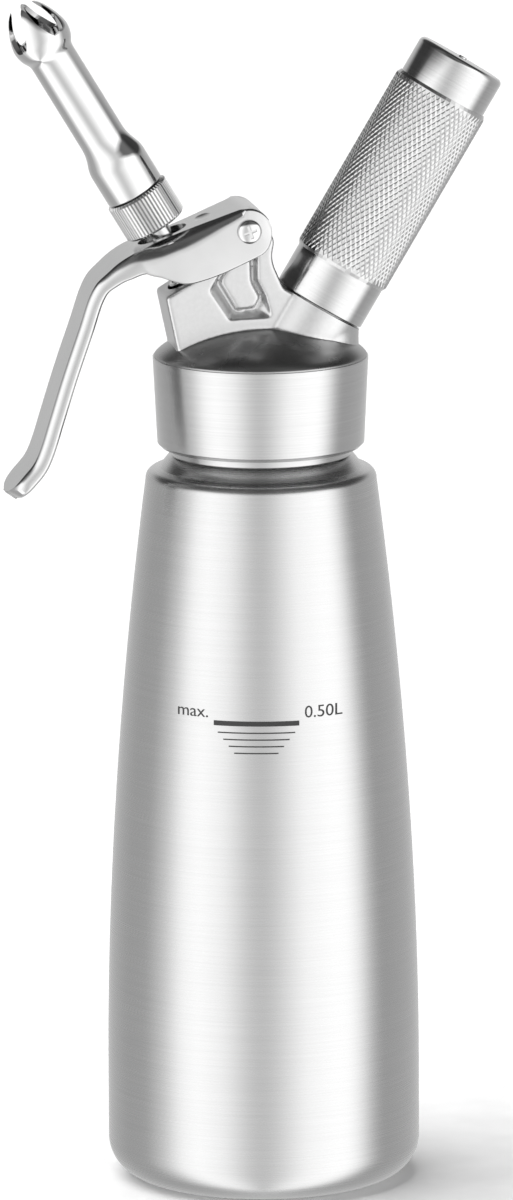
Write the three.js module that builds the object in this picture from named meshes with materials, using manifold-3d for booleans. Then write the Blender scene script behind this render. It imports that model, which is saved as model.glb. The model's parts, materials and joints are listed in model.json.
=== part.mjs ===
// A whipped cream dispenser: a steel bottle, a cast screw-on head with a sprung dispensing valve,
// a lever, a four-pointed nozzle and a knurled holder that screws a gas charger on to its pin.
// Millimetres, +Z up. The bottle stands on Z = 0, on the Z axis, and both tilted axes lie in Y = 0.
import * as THREE from "three";
import { mergeVertices } from "three/addons/utils/BufferGeometryUtils.js";
import Module from "manifold-3d";

const wasm = await Module();
wasm.setup();

// Clearances and facets shared by all the pieces
const seatGap = 0.3;
const runningGap = 0.4;
const cutOverrun = 2;
const sunkDepth = 0.5;
const mergeDistance = 1e-4;
const bottleSides = 36;
const holderSides = 24;
const valveSides = 20;
const smallSides = 12;
const threadFadeShare = 0.25;

// Bottle
const bottleRadius = 40;
const bottleWall = 1;
const bottleFloor = 1.3;
const baseFillet = 9.8;
const baseFilletSteps = 3;
const baseRingWidth = 3.6;
const baseDishDepth = 1;
const baseDishSlope = 2.2;
const taperStart = 30;
const taperPowerShare = 1.88;
const taperSteps = 5;
const shoulderRadius = 29.5;
const shoulderHeight = 182;
const shoulderRound = 2.2;
const shoulderRise = 6.4;
const neckRadius = 22.7;
const neckRimWidth = 2.6;

// Thread between the bottle's neck and the head
const neckThreadDepth = 1;
const neckThreadPitch = 4;
const neckThreadTurns = 1.5;
const neckThreadFoot = 1.8;
const neckThreadCrest = 0.9;
const neckThreadStart = 5.2;
const neckRimHeight = 4.4;

// Head: collar and dome
const collarLift = 2;
const collarRoof = 6.8;
const collarWall = 2.3;
const collarFlare = 1.1;
const collarEdge = 0.9;
const domeStep = 1.7;
const domeFoot = 0.9;
const domeRise = 7.8;
const domePowerShare = 1.5;
const domeSteps = 4;
const gasketThickness = 2.2;
const gasketWidth = 3;

// Valve: places along its axis are measured from where it meets the bottle's axis
const axisTilt = 31;
const valveOriginDrop = 3.2;
const seatPlane = 9.2;
const seatRadius = 7.4;
const valveBore = 4.3;
const footThickness = 1.6;
const footGap = 0.6;
const valveSealThickness = 2;
const valveSealInset = 0.2;
const stemWaist = 3;
const stemWaistEnd = 15;
const stemLand = 0.8;
const ringGrooveRadius = 2.6;
const oRingSteps = 6;
const stemRadius = 3.3;
const stemThreadRadius = 2.7;
const stemPassage = 1.5;
const stemPortRadius = 1.2;
const springPocketLift = 2;
const springInnerGap = 0.8;
const springOuterGap = 0.7;
const springWire = 0.6;
const springTurns = 6;
const springClosePitch = 1.8;
const springSteps = 8;
const springSides = 5;
const thrustCollarThickness = 2.5;
const thrustCollarLip = 1.7;

// Casting that stands on the dome: tower round the valve, pivot boss, pocket and web on each side
const towerTop = 36.2;
const towerWall = 2.2;
const towerFootReach = 22.8;
const castingFootShare = 0.8;
const castingWall = 2;
const castingEdge = 1;
const pivotAcross = 18.6;
const pivotAlong = 39.9;
const bossRadius = 4.1;
const bossSteps = 6;
const bossBackReach = 7.7;
const bossBackDrop = 5;
const bossBackFoot = 12.4;
const pocketDepth = 2.6;
const webStand = 1.2;
const pocketDrop = 22.4;

// Outlines of the pocket and its web: places in X and Z from the pivot, in shares of the pocket's drop
const pocketShares = [
  [-0.36, -0.62], [-0.3, -0.55], [0.1, -0.2], [0.16, -0.55], [0.24, -0.77], [0.26, -1], [-0.16, -1],
];
const webShares = [
  [-0.28, -0.5], [0.06, -0.15], [0.14, -0.58], [0.2, -0.78], [0.11, -0.9], [-0.09, -0.9],
];

// Pivot screw and its barrel nut
const pivotBarrelRadius = 2.3;
const pivotNutHeight = 1.3;
const pivotNutFloor = 2;
const pivotHeadRadius = 3.1;
const pivotHeadHeight = 1.5;
const pivotHeadShares = [[1, 0], [1, 0.3], [0.8, 0.8], [0.45, 1]];
const pivotScrewRadius = 1.2;
const pivotScrewShort = 1;
const pivotThreadGap = 0.3;
const pivotRecessWidth = 0.7;
const pivotRecessLength = 3.4;
const pivotRecessDepth = 0.7;

// Lever
const leverSlope = 21;
const leverRise = 5.8;
const leverSideGap = 0.7;
const leverFlatShare = 0.5;
const leverShoulder = 4.4;
const leverShoulderSteps = 3;
const leverShoulderShare = 0.7;
const leverCheek = 2.3;
const leverWeb = 1.5;
const leverInnerChamfer = 1.5;
const leverChamferShare = 0.25;
const leverDepth = 13.4;
const leverPlateLength = 28.8;
const leverSlotWidth = 9;
const leverSlotLength = 13;
const leverSlotSteps = 6;
const leverPadRadius = 1.4;
const leverPadDrop = 0.9;
const handleHalfWidth = 9;
const handleDepth = 3.6;
const handleReach = 61.7;
const handleDrop = 66.5;

// Sections of the lever's plate: place along it, sink of its top and depth of its cheeks, as shares
const plateShares = [
  [-0.184, 0.257, 0.29], [-0.153, 0.15, 0.6], [-0.09, 0.046, 0.86], [0, 0, 0.96], [0.27, 0, 1],
  [0.54, 0, 0.98], [0.68, 0, 0.92], [0.78, 0, 0.78], [0.89, 0, 0.58], [1, 0, 0.44],
];

// Sections of the handle: shares of its reach and drop, of the width the plate has to spare, of its depth
const handleShares = [
  [0.535, 0.11, 0.75, 1.35], [0.585, 0.15, 0.45, 1.1], [0.629, 0.19, 0.2, 1], [0.663, 0.25, 0, 1],
  [0.699, 0.35, 0, 1], [0.772, 0.545, 0, 1], [0.83, 0.715, 0, 1], [0.866, 0.82, 0, 1], [0.895, 0.88, 0, 1],
  [0.94, 0.93, 0, 1], [0.985, 0.98, -0.12, 0.9], [1, 1, -0.45, 0.6],
];

// Knurled adaptor on the stem, and the thread on its spigot that carries the nozzle
const adaptorLift = 2.9;
const adaptorLength = 10.1;
const adaptorRadius = 8.3;
const adaptorTeeth = 30;
const adaptorToothDepth = 0.45;
const adaptorChamfer = 0.8;
const adaptorSocket = 8.6;
const spigotRadius = 5.7;
const spigotTip = 2.7;
const spigotPassage = 2;
const nozzleThreadDepth = 0.65;
const nozzleThreadPitch = 2;
const nozzleThreadTurns = 2;
const nozzleThreadFoot = 0.9;
const nozzleThreadCrest = 0.4;
const nozzleThreadStart = 1.2;

// Nozzle and its gasket
const nozzleGasketThickness = 1.2;
const nozzleGasketWidth = 1.6;
const nozzleBaseWall = 0.9;
const nozzleShoulderWall = 0.3;
const nozzleTaper = 4.6;
const nozzleTubeRadius = 6;
const nozzleTubeLength = 26;
const nozzleWall = 1;
const nozzleEdge = 0.5;
const tulipLength = 15.5;
const tulipRadius = 7.7;
const tulipTipRadius = 3.2;
const tulipSlots = 4;
const tulipSlotWidth = 2.7;
const tulipMouthWidth = 4;
const tulipSlotDepth = 9.6;

// The tulip's outer line: share of its length, share of the bulge between tube, belly and tip
const tulipBellyShares = [[0.08, 0.1], [0.2, 0.68], [0.31, 0.95], [0.41, 1]];
const tulipTipShares = [[0.55, 0.9], [0.7, 0.71], [0.83, 0.49], [0.93, 0.26], [1, 0]];

// Charger port: places along the charger's axis are measured from where it meets the bottle's axis
const chargerOriginDrop = 5.8;
const portTop = 29.1;
const portRoot = 14.8;
const portStep = 0.15;
const portEdge = 0.5;
const studRadius = 9.6;
const studThreadDepth = 0.7;
const studThreadPitch = 2.5;
const studThreadTurns = 2.5;
const studThreadFoot = 1.1;
const studThreadCrest = 0.6;
const studThreadStart = 1.8;
const studTip = 2.35;
const socketFloor = 25.8;
const gasChamberRadius = 1.8;
const gasChamberDepth = 1.8;
const gasDropRadius = 1.5;

// One-way valve at the foot of the gas channel
const checkPocketRadius = 4.5;
const checkValveFlange = 1.2;
const checkValveBody = 1.6;
const checkValveRadius = 2.4;
const checkTipShare = 0.4;
const checkNutThickness = 1.8;
const checkNutBore = 1.9;

// Piercing pin, the slotted plug that holds it, and the seal for the charger's neck
const pinFlange = 0.9;
const pinFlangeRadius = 3.4;
const pinRadius = 0.8;
const pinBore = 0.35;
const pinTipWall = 0.17;
const pinPoint = 1.4;
const pinReach = 2;
const pinHolderLength = 4.7;
const pinHolderBore = 1.15;
const pinHolderSlot = 1;
const chargerSealThickness = 1.5;
const chargerSealBore = 2;

// Gas charger
const chargerLength = 65.5;
const chargerRadius = 9;
const chargerNeckRadius = 4.3;
const chargerNeckGap = 0.45;
const chargerNeckLength = 8.4;
const chargerNeckWall = 1.5;
const chargerShoulder = 8.5;
const chargerWall = 1;
const chargerHole = 1.5;
const chargerTailSteps = 4;

// Charger holder
const holderGap = 0.4;
const holderWall = 1.45;
const holderBandLength = 10.9;
const holderKnurlHeight = 0.6;
const holderCapStep = 0.3;
const holderCapLength = 10.1;
const holderEndWall = 2;
const holderEndShares = [[1, 0], [0.85, 0.6], [0.5, 1]];
const holderEdge = 0.6;
const holderPipRadius = 1.1;
const holderPipHeight = 0.5;

// Heights of the bottle's neck and the head
const neckBase = shoulderHeight + shoulderRise;
const neckTop = neckBase + neckThreadStart + neckThreadPitch * neckThreadTurns + neckRimHeight;
const neckBore = neckRadius + neckThreadDepth + runningGap;
const ceiling = neckTop + seatGap + gasketThickness + seatGap;
const collarBottom = neckBase + collarLift;
const collarTop = ceiling + collarRoof;
const collarRadius = neckBore + collarWall;
const collarTopRadius = collarRadius + collarFlare;

// The two tilted axes, and the pivot of the lever
const tilt = THREE.MathUtils.degToRad(axisTilt);
const valveOrigin = ceiling - valveOriginDrop;
const chargerOrigin = ceiling - chargerOriginDrop;
const along = new THREE.Vector2(-Math.sin(tilt), Math.cos(tilt));
const across = new THREE.Vector2(Math.cos(tilt), Math.sin(tilt));
const pivot = beside(pivotAcross, pivotAlong);
const pivotBore = pivotBarrelRadius + seatGap;

// Radii and places on the valve's axis
const footRadius = seatRadius - footGap;
const stemLandRadius = valveBore - seatGap;
const stemPortPlace = (seatPlane + stemWaistEnd) / 2;
const oRingSection = (valveBore - ringGrooveRadius) / 2 - seatGap;
const ringGroove = 2 * (oRingSection + seatGap);
const stemSealEnd = stemWaistEnd + stemLand + ringGroove + stemLand;
const springPocketFloor = stemSealEnd + springPocketLift;
const springCoilRadius = stemRadius + springInnerGap + springWire;
const springPocketRadius = springCoilRadius + springWire + springOuterGap;
const thrustCollarRadius = springCoilRadius + springWire + thrustCollarLip;
const towerHalfWidth = springPocketRadius + towerWall;
const castingHalfDepth = springPocketRadius + castingWall;

// The lever's plate leans on the valve's axis, crosses it between the thrust collar and the adaptor
const leverAngle = THREE.MathUtils.degToRad(leverSlope);
const leverLean = tilt - leverAngle;
const leverInner = castingHalfDepth + leverSideGap;
const leverHalfWidth = leverInner + leverCheek;
const leverCrossing = pivotAlong + leverRise * Math.cos(leverLean)
  + (pivotAcross + leverRise * Math.sin(leverLean)) * Math.tan(leverLean);
const leverPadPlace = leverCrossing - leverWeb - leverPadDrop;
const thrustCollarTop = leverPadPlace - leverPadRadius - seatGap;
const thrustCollarBase = thrustCollarTop - thrustCollarThickness;
const adaptorBase = leverCrossing + adaptorLift;
const adaptorTop = adaptorBase + adaptorLength;
const spigotTop = adaptorTop + nozzleThreadStart + nozzleThreadPitch * nozzleThreadTurns + spigotTip;
const nozzleStart = adaptorTop + seatGap;
const nozzleBore = spigotRadius + nozzleThreadDepth + runningGap;
const nozzleBaseRadius = nozzleBore + nozzleBaseWall;
const nozzleShoulder = spigotTop + seatGap + nozzleGasketThickness + seatGap;
const nozzleBaseEnd = nozzleShoulder + nozzleShoulderWall;
const nozzleTubeStart = nozzleBaseEnd + nozzleTaper;
const tulipStart = nozzleTubeStart + nozzleTubeLength;

// Radii and places on the charger's axis
const socketRadius = chargerNeckRadius + chargerNeckGap;
const gasDropPlace = (socketFloor - gasChamberDepth / 2) * Math.sin(tilt);
const checkNutTop = ceiling + seatGap + checkNutThickness;
const checkPocketTop = checkNutTop + seatGap + checkValveBody + checkValveFlange + seatGap;
const pinHolderStart = socketFloor + seatGap + pinFlange + seatGap;
const pinHolderEnd = pinHolderStart + pinHolderLength;
const chargerSealStart = pinHolderEnd + seatGap;
const chargerStart = chargerSealStart + chargerSealThickness + seatGap;
const chargerEnd = chargerStart + chargerLength;
const studTop = portTop + studThreadStart + studThreadPitch * studThreadTurns + studTip;
const holderThreadBore = studRadius + studThreadDepth + runningGap;
const holderBore = chargerRadius + runningGap;
const holderBandRadius = holderThreadBore + holderWall;
const holderGripRadius = holderBandRadius + holderKnurlHeight;
const holderCapRadius = holderBandRadius - holderCapStep;
const portRadius = holderBandRadius - portStep;
const holderStart = portTop + holderGap;
const holderGripStart = holderStart + holderBandLength;
const holderInnerEnd = chargerEnd + seatGap;
const holderEnd = holderInnerEnd + holderEndWall;
const holderGripEnd = holderEnd - holderCapLength;

// Turns a geometry into one closed mesh of shared vertices whose faces point out
function closed(geometry) {
  const bare = geometry.clone();
  for (const name of Object.keys(bare.attributes)) {
    if (name !== "position") bare.deleteAttribute(name);
  }
  const merged = mergeVertices(bare, mergeDistance);
  const position = merged.attributes.position;
  const corners = [new THREE.Vector3(), new THREE.Vector3(), new THREE.Vector3()];
  const kept = [];
  let volume = 0;
  for (let i = 0; i < merged.index.count; i += 3) {
    const face = [merged.index.getX(i), merged.index.getX(i + 1), merged.index.getX(i + 2)];
    if (face[0] === face[1] || face[1] === face[2] || face[2] === face[0]) continue;
    face.forEach((corner, k) => corners[k].fromBufferAttribute(position, corner));
    volume += corners[0].dot(corners[1].clone().cross(corners[2]));
    kept.push(face);
  }
  const index = kept.flatMap((face) => (volume < 0 ? [face[0], face[2], face[1]] : face));
  const result = new THREE.BufferGeometry();
  result.setAttribute("position", position);
  result.setIndex(index);
  return result;
}

// Turns a geometry into a solid that can be cut and joined
function solid(geometry) {
  const shape = closed(geometry);
  return new wasm.Manifold(
    new wasm.Mesh({
      numProp: 3,
      vertProperties: new Float32Array(shape.attributes.position.array),
      triVerts: new Uint32Array(shape.index.array),
    }),
  );
}

// Turns a solid back into a geometry
function geometryOf(body) {
  const mesh = body.getMesh();
  const result = new THREE.BufferGeometry();
  result.setAttribute("position", new THREE.BufferAttribute(mesh.vertProperties, 3));
  result.setIndex(new THREE.BufferAttribute(mesh.triVerts, 1));
  return result;
}

// A round piece about Z from [radius, height] points that start and end on the axis
function turned(points, sides) {
  const outline = points.map(([radius, height]) => new THREE.Vector2(radius, height));
  return new THREE.LatheGeometry(outline, sides).rotateX(Math.PI / 2);
}

// A plain rod about Z between two heights
function rod(radius, low, high, sides) {
  return turned([[0, low], [radius, low], [radius, high], [0, high]], sides);
}

// A ring about Z with a square section
function ring(inner, outer, low, high, sides) {
  return turned([[inner, low], [outer, low], [outer, high], [inner, high], [inner, low]], sides);
}

// A rod along Y between two places, about the point (x, z)
function crossRod(radius, from, to, place, sides) {
  return rod(radius, from, to, sides).rotateX(-Math.PI / 2).translate(place.x, 0, place.y);
}

// A slab between two values of Y whose outline is given as points of X and Z, with an edge on both sides
function slab(points, from, to, edge = 0) {
  const shape = new THREE.Shape(points);
  const geometry = new THREE.ExtrudeGeometry(shape, {
    depth: to - from - 2 * edge,
    bevelEnabled: edge > 0,
    bevelThickness: edge,
    bevelSize: edge,
    bevelOffset: -edge,
    bevelSegments: 1,
    steps: 1,
  });
  return geometry.rotateX(Math.PI / 2).translate(0, to - edge, 0);
}

// One thread ridge that winds up Z, sunk into the wall that carries it, and fading out at both ends
function threadRidge({ root, depth, foot, crest, pitch, turns, start, phase, sides }) {
  const steps = Math.round(turns * sides);
  const fadeSteps = threadFadeShare * sides;
  const outward = Math.sign(depth);
  const positions = [];
  for (let i = 0; i <= steps; i += 1) {
    const angle = phase + (i / sides) * 2 * Math.PI;
    const height = start + (i / sides) * pitch;
    const fade = Math.min(1, (i + 1) / fadeSteps, (steps - i + 1) / fadeSteps);
    const section = [
      [root - outward * sunkDepth, height - foot / 2],
      [root - outward * sunkDepth, height + foot / 2],
      [root + depth * fade, height + crest / 2],
      [root + depth * fade, height - crest / 2],
    ];
    for (const [radius, z] of section) {
      positions.push(radius * Math.cos(angle), radius * Math.sin(angle), z);
    }
  }
  return skin(positions, 4, [[0, 1, 2], [0, 2, 3]]);
}

// Joins equal rings of points, one after another, and closes both ends with the given triangles
function skin(positions, count, cap) {
  const index = [];
  const rings = positions.length / 3 / count;
  for (let i = 0; i + 1 < rings; i += 1) {
    for (let k = 0; k < count; k += 1) {
      const a = i * count + k;
      const b = i * count + ((k + 1) % count);
      index.push(a, b, a + count, b, b + count, a + count);
    }
  }
  const last = (rings - 1) * count;
  for (const [a, b, c] of cap) index.push(a, c, b, last + a, last + b, last + c);
  const geometry = new THREE.BufferGeometry();
  geometry.setAttribute("position", new THREE.Float32BufferAttribute(positions, 3));
  geometry.setIndex(index);
  return geometry;
}

// Moves a geometry from the valve's axis, or the charger's, to where it stands in the dispenser
function onValveAxis(geometry) {
  return geometry.rotateY(-tilt).translate(0, 0, valveOrigin);
}
function onChargerAxis(geometry) {
  return geometry.rotateY(tilt).translate(0, 0, chargerOrigin);
}

// A point of X and Z from its places across and along the valve's axis
function beside(acrossPlace, alongPlace) {
  return new THREE.Vector2(0, valveOrigin)
    .addScaledVector(across, acrossPlace)
    .addScaledVector(along, alongPlace);
}

// The bottle's outer radius at a height between its base and its shoulder
function bottleRadiusAt(height) {
  const share = Math.max(0, (height - taperStart) / (shoulderHeight - taperStart));
  return bottleRadius - (bottleRadius - shoulderRadius) * share ** taperPowerShare;
}

function makeBottle() {
  const outer = [];
  const inner = [];
  const ringInner = bottleRadius - baseFillet - baseRingWidth;
  outer.push([0, baseDishDepth], [ringInner - baseDishSlope, baseDishDepth], [ringInner, 0]);
  inner.push([0, baseDishDepth + bottleFloor]);
  const innerFillet = baseFillet - bottleWall;
  for (let i = 0; i <= baseFilletSteps; i += 1) {
    const turn = (i / baseFilletSteps) * (Math.PI / 2);
    const x = Math.sin(turn);
    const z = 1 - Math.cos(turn);
    outer.push([bottleRadius - baseFillet + baseFillet * x, baseFillet * z]);
    inner.push([
      bottleRadius - baseFillet + innerFillet * x,
      baseDishDepth + bottleFloor + (baseFillet - baseDishDepth - bottleFloor) * z,
    ]);
  }
  for (let i = 0; i <= taperSteps; i += 1) {
    const height = taperStart + (i / taperSteps) * (shoulderHeight - taperStart);
    outer.push([bottleRadiusAt(height), height]);
    inner.push([bottleRadiusAt(height) - bottleWall, height]);
  }
  const slopeStart = shoulderRadius - shoulderRound;
  for (const turn of [Math.PI / 4, Math.PI / 2]) {
    const height = shoulderHeight + shoulderRound * Math.sin(turn);
    outer.push([slopeStart + shoulderRound * Math.cos(turn), height]);
  }
  outer.push([neckRadius + bottleWall, neckBase - bottleWall / 2]);
  inner.push([slopeStart - bottleWall, shoulderHeight + shoulderRound - bottleWall]);
  inner.push([neckRadius - bottleWall, neckBase - bottleWall]);
  outer.push([neckRadius, neckBase], [neckRadius, neckTop]);
  inner.push([neckRadius - bottleWall, neckTop - bottleWall]);
  inner.push([neckRadius - neckRimWidth, neckTop - bottleWall], [neckRadius - neckRimWidth, neckTop]);
  const wall = solid(turned([...outer, ...inner.reverse()], bottleSides));
  const ridge = threadRidge({
    root: neckRadius,
    depth: neckThreadDepth,
    foot: neckThreadFoot,
    crest: neckThreadCrest,
    pitch: neckThreadPitch,
    turns: neckThreadTurns,
    start: neckBase + neckThreadStart,
    phase: 0,
    sides: bottleSides,
  });
  return geometryOf(wall.add(solid(ridge)));
}

function makeHeadGasket() {
  const low = neckTop + seatGap;
  const outer = neckBore - runningGap;
  return ring(outer - gasketWidth, outer, low, low + gasketThickness, bottleSides);
}

// The collar that screws on to the neck, with the dome over it
function collarAndDome() {
  const points = [[0, ceiling], [neckBore, ceiling], [neckBore, collarBottom]];
  points.push([collarRadius - collarEdge, collarBottom]);
  points.push([collarRadius, collarBottom + collarEdge]);
  points.push([collarTopRadius, collarTop - collarEdge / 2]);
  points.push([collarTopRadius - collarEdge / 2, collarTop]);
  const domeRadius = collarTopRadius - domeStep;
  for (let i = 0; i <= domeSteps; i += 1) {
    const turn = (i / domeSteps) * (Math.PI / 2);
    const height = collarTop + domeFoot + domeRise * Math.sin(turn) ** domePowerShare;
    points.push([domeRadius * Math.cos(turn), height]);
  }
  return turned(points, bottleSides);
}

// Outline of the casting that stands on the dome: tower, pivot boss and the neck of the charger port
function castingOutline() {
  const foot = ceiling + collarRoof * castingFootShare;
  const points = [new THREE.Vector2(-towerFootReach, foot)];
  points.push(beside(-towerHalfWidth, towerTop), beside(towerHalfWidth, towerTop));
  for (let i = 0; i <= bossSteps; i += 1) {
    const turn = Math.PI + leverAngle - (i / bossSteps) * Math.PI;
    points.push(new THREE.Vector2(bossRadius * Math.cos(turn), bossRadius * Math.sin(turn)).add(pivot));
  }
  points.push(new THREE.Vector2(pivot.x + bossBackReach, pivot.y - bossBackDrop));
  points.push(new THREE.Vector2(pivot.x + bossBackReach, pivot.y - bossBackFoot));
  const portCorner = new THREE.Vector2(
    portTop * Math.sin(tilt) - portRadius * Math.cos(tilt),
    chargerOrigin + portTop * Math.cos(tilt) + portRadius * Math.sin(tilt),
  );
  points.push(new THREE.Vector2(portCorner.x, portCorner.y - portEdge));
  points.push(new THREE.Vector2(portTop * Math.sin(tilt), foot));
  return points;
}

// An outline of X and Z from its shares of the pocket's drop, measured from the pivot
function sharePoints(shares) {
  return shares.map(([x, z]) => new THREE.Vector2(pivot.x + x * pocketDrop, pivot.y + z * pocketDrop));
}

function makeHeadBody() {
  const face = castingHalfDepth;
  let body = solid(collarAndDome());
  const ridge = threadRidge({
    root: neckBore,
    depth: -neckThreadDepth,
    foot: neckThreadFoot,
    crest: neckThreadCrest,
    pitch: neckThreadPitch,
    turns: neckThreadTurns,
    start: neckBase + neckThreadStart,
    phase: Math.PI,
    sides: bottleSides,
  });
  body = body.add(solid(ridge));
  body = body.add(solid(slab(castingOutline(), -face, face, castingEdge)));
  for (const side of [-1, 1]) {
    const floor = side * (face - pocketDepth);
    const outside = side * (face + cutOverrun);
    const webBack = floor - side * sunkDepth;
    const webFront = floor + side * webStand;
    const pocket = slab(sharePoints(pocketShares), Math.min(floor, outside), Math.max(floor, outside));
    const web = slab(sharePoints(webShares), Math.min(webBack, webFront), Math.max(webBack, webFront));
    body = body.subtract(solid(pocket)).add(solid(web));
  }
  const port = [[0, portRoot], [portRadius, portRoot], [portRadius, portTop - portEdge]];
  port.push([portRadius - portEdge, portTop], [studRadius, portTop], [studRadius, studTop - portEdge]);
  port.push([studRadius - portEdge, studTop], [0, studTop]);
  body = body.add(solid(onChargerAxis(turned(port, holderSides))));
  const studRidge = threadRidge({
    root: studRadius,
    depth: studThreadDepth,
    foot: studThreadFoot,
    crest: studThreadCrest,
    pitch: studThreadPitch,
    turns: studThreadTurns,
    start: portTop + studThreadStart,
    phase: 0,
    sides: holderSides,
  });
  body = body.add(solid(onChargerAxis(studRidge)));
  const cuts = [
    onValveAxis(rod(seatRadius, -cutOverrun, seatPlane, valveSides)),
    onValveAxis(rod(valveBore, seatPlane - cutOverrun, springPocketFloor + cutOverrun, valveSides)),
    onValveAxis(rod(springPocketRadius, springPocketFloor, towerTop + cutOverrun, valveSides)),
    onChargerAxis(rod(socketRadius, socketFloor, studTop + cutOverrun, valveSides)),
    onChargerAxis(rod(gasChamberRadius, socketFloor - gasChamberDepth, socketFloor + cutOverrun, smallSides)),
    rod(gasDropRadius, ceiling, chargerOrigin + gasDropPlace / Math.tan(tilt), smallSides)
      .translate(gasDropPlace, 0, 0),
    rod(checkPocketRadius, ceiling - cutOverrun, checkPocketTop, valveSides)
      .translate(gasDropPlace, 0, 0),
    crossRod(pivotBore, -face - cutOverrun, face + cutOverrun, pivot, valveSides),
  ];
  for (const cut of cuts) body = body.subtract(solid(cut));
  return geometryOf(body);
}

function makeValveStem() {
  const foot = seatPlane - seatGap - valveSealThickness - seatGap - footThickness;
  const grooveStart = stemWaistEnd + stemLand;
  const grooveEnd = grooveStart + ringGroove;
  const shoulder = thrustCollarBase - seatGap;
  const top = adaptorBase + adaptorSocket - seatGap;
  const points = [[0, foot], [footRadius, foot], [footRadius, foot + footThickness]];
  points.push([stemWaist, foot + footThickness], [stemWaist, stemWaistEnd], [stemLandRadius, stemWaistEnd]);
  points.push([stemLandRadius, grooveStart], [ringGrooveRadius, grooveStart], [ringGrooveRadius, grooveEnd]);
  points.push([stemLandRadius, grooveEnd], [stemLandRadius, stemSealEnd], [stemRadius, stemSealEnd]);
  points.push([stemRadius, shoulder], [stemThreadRadius, shoulder], [stemThreadRadius, top], [0, top]);
  const passage = rod(stemPassage, stemPortPlace, top + cutOverrun, smallSides);
  const portPlace = new THREE.Vector2(0, stemPortPlace);
  const port = crossRod(stemPortRadius, -valveBore, valveBore, portPlace, smallSides);
  return geometryOf(solid(turned(points, valveSides)).subtract(solid(passage)).subtract(solid(port)));
}

function makeValveSeal() {
  const low = seatPlane - seatGap - valveSealThickness;
  return ring(stemWaist + seatGap, footRadius - valveSealInset, low, low + valveSealThickness, valveSides);
}

function makeStemORing() {
  const middle = stemWaistEnd + stemLand + ringGroove / 2;
  const centre = (ringGrooveRadius + valveBore) / 2;
  const section = [];
  for (let i = 0; i <= oRingSteps; i += 1) {
    const turn = (i / oRingSteps) * 2 * Math.PI;
    section.push([centre + oRingSection * Math.cos(turn), middle + oRingSection * Math.sin(turn)]);
  }
  return turned(section, valveSides);
}

// Least gap between the spring's turns, measured on the points of its wire's middle line
function leastGap(wireLine) {
  let least = Infinity;
  for (let i = 0; i < wireLine.length; i += 1) {
    for (let k = i + springSteps / 2; k < wireLine.length; k += 1) {
      least = Math.min(least, wireLine[i].distanceTo(wireLine[k]));
    }
  }
  return least - 2 * springWire;
}

// The valve's return spring: close turns at both ends, open ones between, as one unbroken wire
function makeValveSpring() {
  const low = springPocketFloor + seatGap + springWire;
  const high = thrustCollarBase - seatGap - springWire;
  const openPitch = (high - low - 2 * springClosePitch) / (springTurns - 2);
  const steps = springTurns * springSteps;
  const centres = [];
  let height = low;
  for (let i = 0; i <= steps; i += 1) {
    const turn = i / springSteps;
    centres.push([turn * 2 * Math.PI, height]);
    const close = turn < 1 || turn >= springTurns - 1;
    height += (close ? springClosePitch : openPitch) / springSteps;
  }
  const positions = [];
  for (const [angle, z] of centres) {
    for (let k = 0; k < springSides; k += 1) {
      const turn = (k / springSides) * 2 * Math.PI;
      const radius = springCoilRadius + springWire * Math.cos(turn);
      positions.push(radius * Math.cos(angle), radius * Math.sin(angle), z + springWire * Math.sin(turn));
    }
  }
  const wireLine = centres.map(([angle, z]) => (
    new THREE.Vector3().setFromCylindricalCoords(springCoilRadius, angle, z)
  ));
  console.log("valve spring, least gap between its turns in mm:", leastGap(wireLine));
  const cap = [];
  for (let k = 1; k + 1 < springSides; k += 1) cap.push([0, k, k + 1]);
  return skin(positions, springSides, cap);
}

function makeThrustCollar() {
  const bore = stemThreadRadius + seatGap;
  return ring(bore, thrustCollarRadius, thrustCollarBase, thrustCollarTop, valveSides);
}

// The knurled ring that screws on to the stem, with the threaded spigot that carries the nozzle
function makeNozzleAdaptor() {
  const outline = [];
  for (let i = 0; i < 2 * adaptorTeeth; i += 1) {
    const radius = adaptorRadius - (i % 2) * adaptorToothDepth;
    const turn = (i / adaptorTeeth) * Math.PI;
    outline.push(new THREE.Vector2(radius * Math.cos(turn), radius * Math.sin(turn)));
  }
  const grip = new THREE.ExtrudeGeometry(new THREE.Shape(outline), {
    depth: adaptorLength - 2 * adaptorChamfer,
    bevelThickness: adaptorChamfer,
    bevelSize: adaptorChamfer,
    bevelOffset: -adaptorChamfer,
    bevelSegments: 1,
    steps: 1,
  }).translate(0, 0, adaptorBase + adaptorChamfer);
  const ridge = threadRidge({
    root: spigotRadius,
    depth: nozzleThreadDepth,
    foot: nozzleThreadFoot,
    crest: nozzleThreadCrest,
    pitch: nozzleThreadPitch,
    turns: nozzleThreadTurns,
    start: adaptorTop + nozzleThreadStart,
    phase: 0,
    sides: valveSides,
  });
  const socketTop = adaptorBase + adaptorSocket;
  const body = solid(grip)
    .add(solid(rod(spigotRadius, adaptorTop - cutOverrun, spigotTop, valveSides)))
    .add(solid(ridge))
    .subtract(solid(rod(stemThreadRadius + seatGap, adaptorBase - cutOverrun, socketTop, valveSides)))
    .subtract(solid(rod(spigotPassage, socketTop - cutOverrun, spigotTop + cutOverrun, smallSides)));
  return geometryOf(body);
}

function makeNozzleGasket() {
  const low = spigotTop + seatGap;
  return ring(spigotRadius - nozzleGasketWidth, spigotRadius, low, low + nozzleGasketThickness, valveSides);
}

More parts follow.
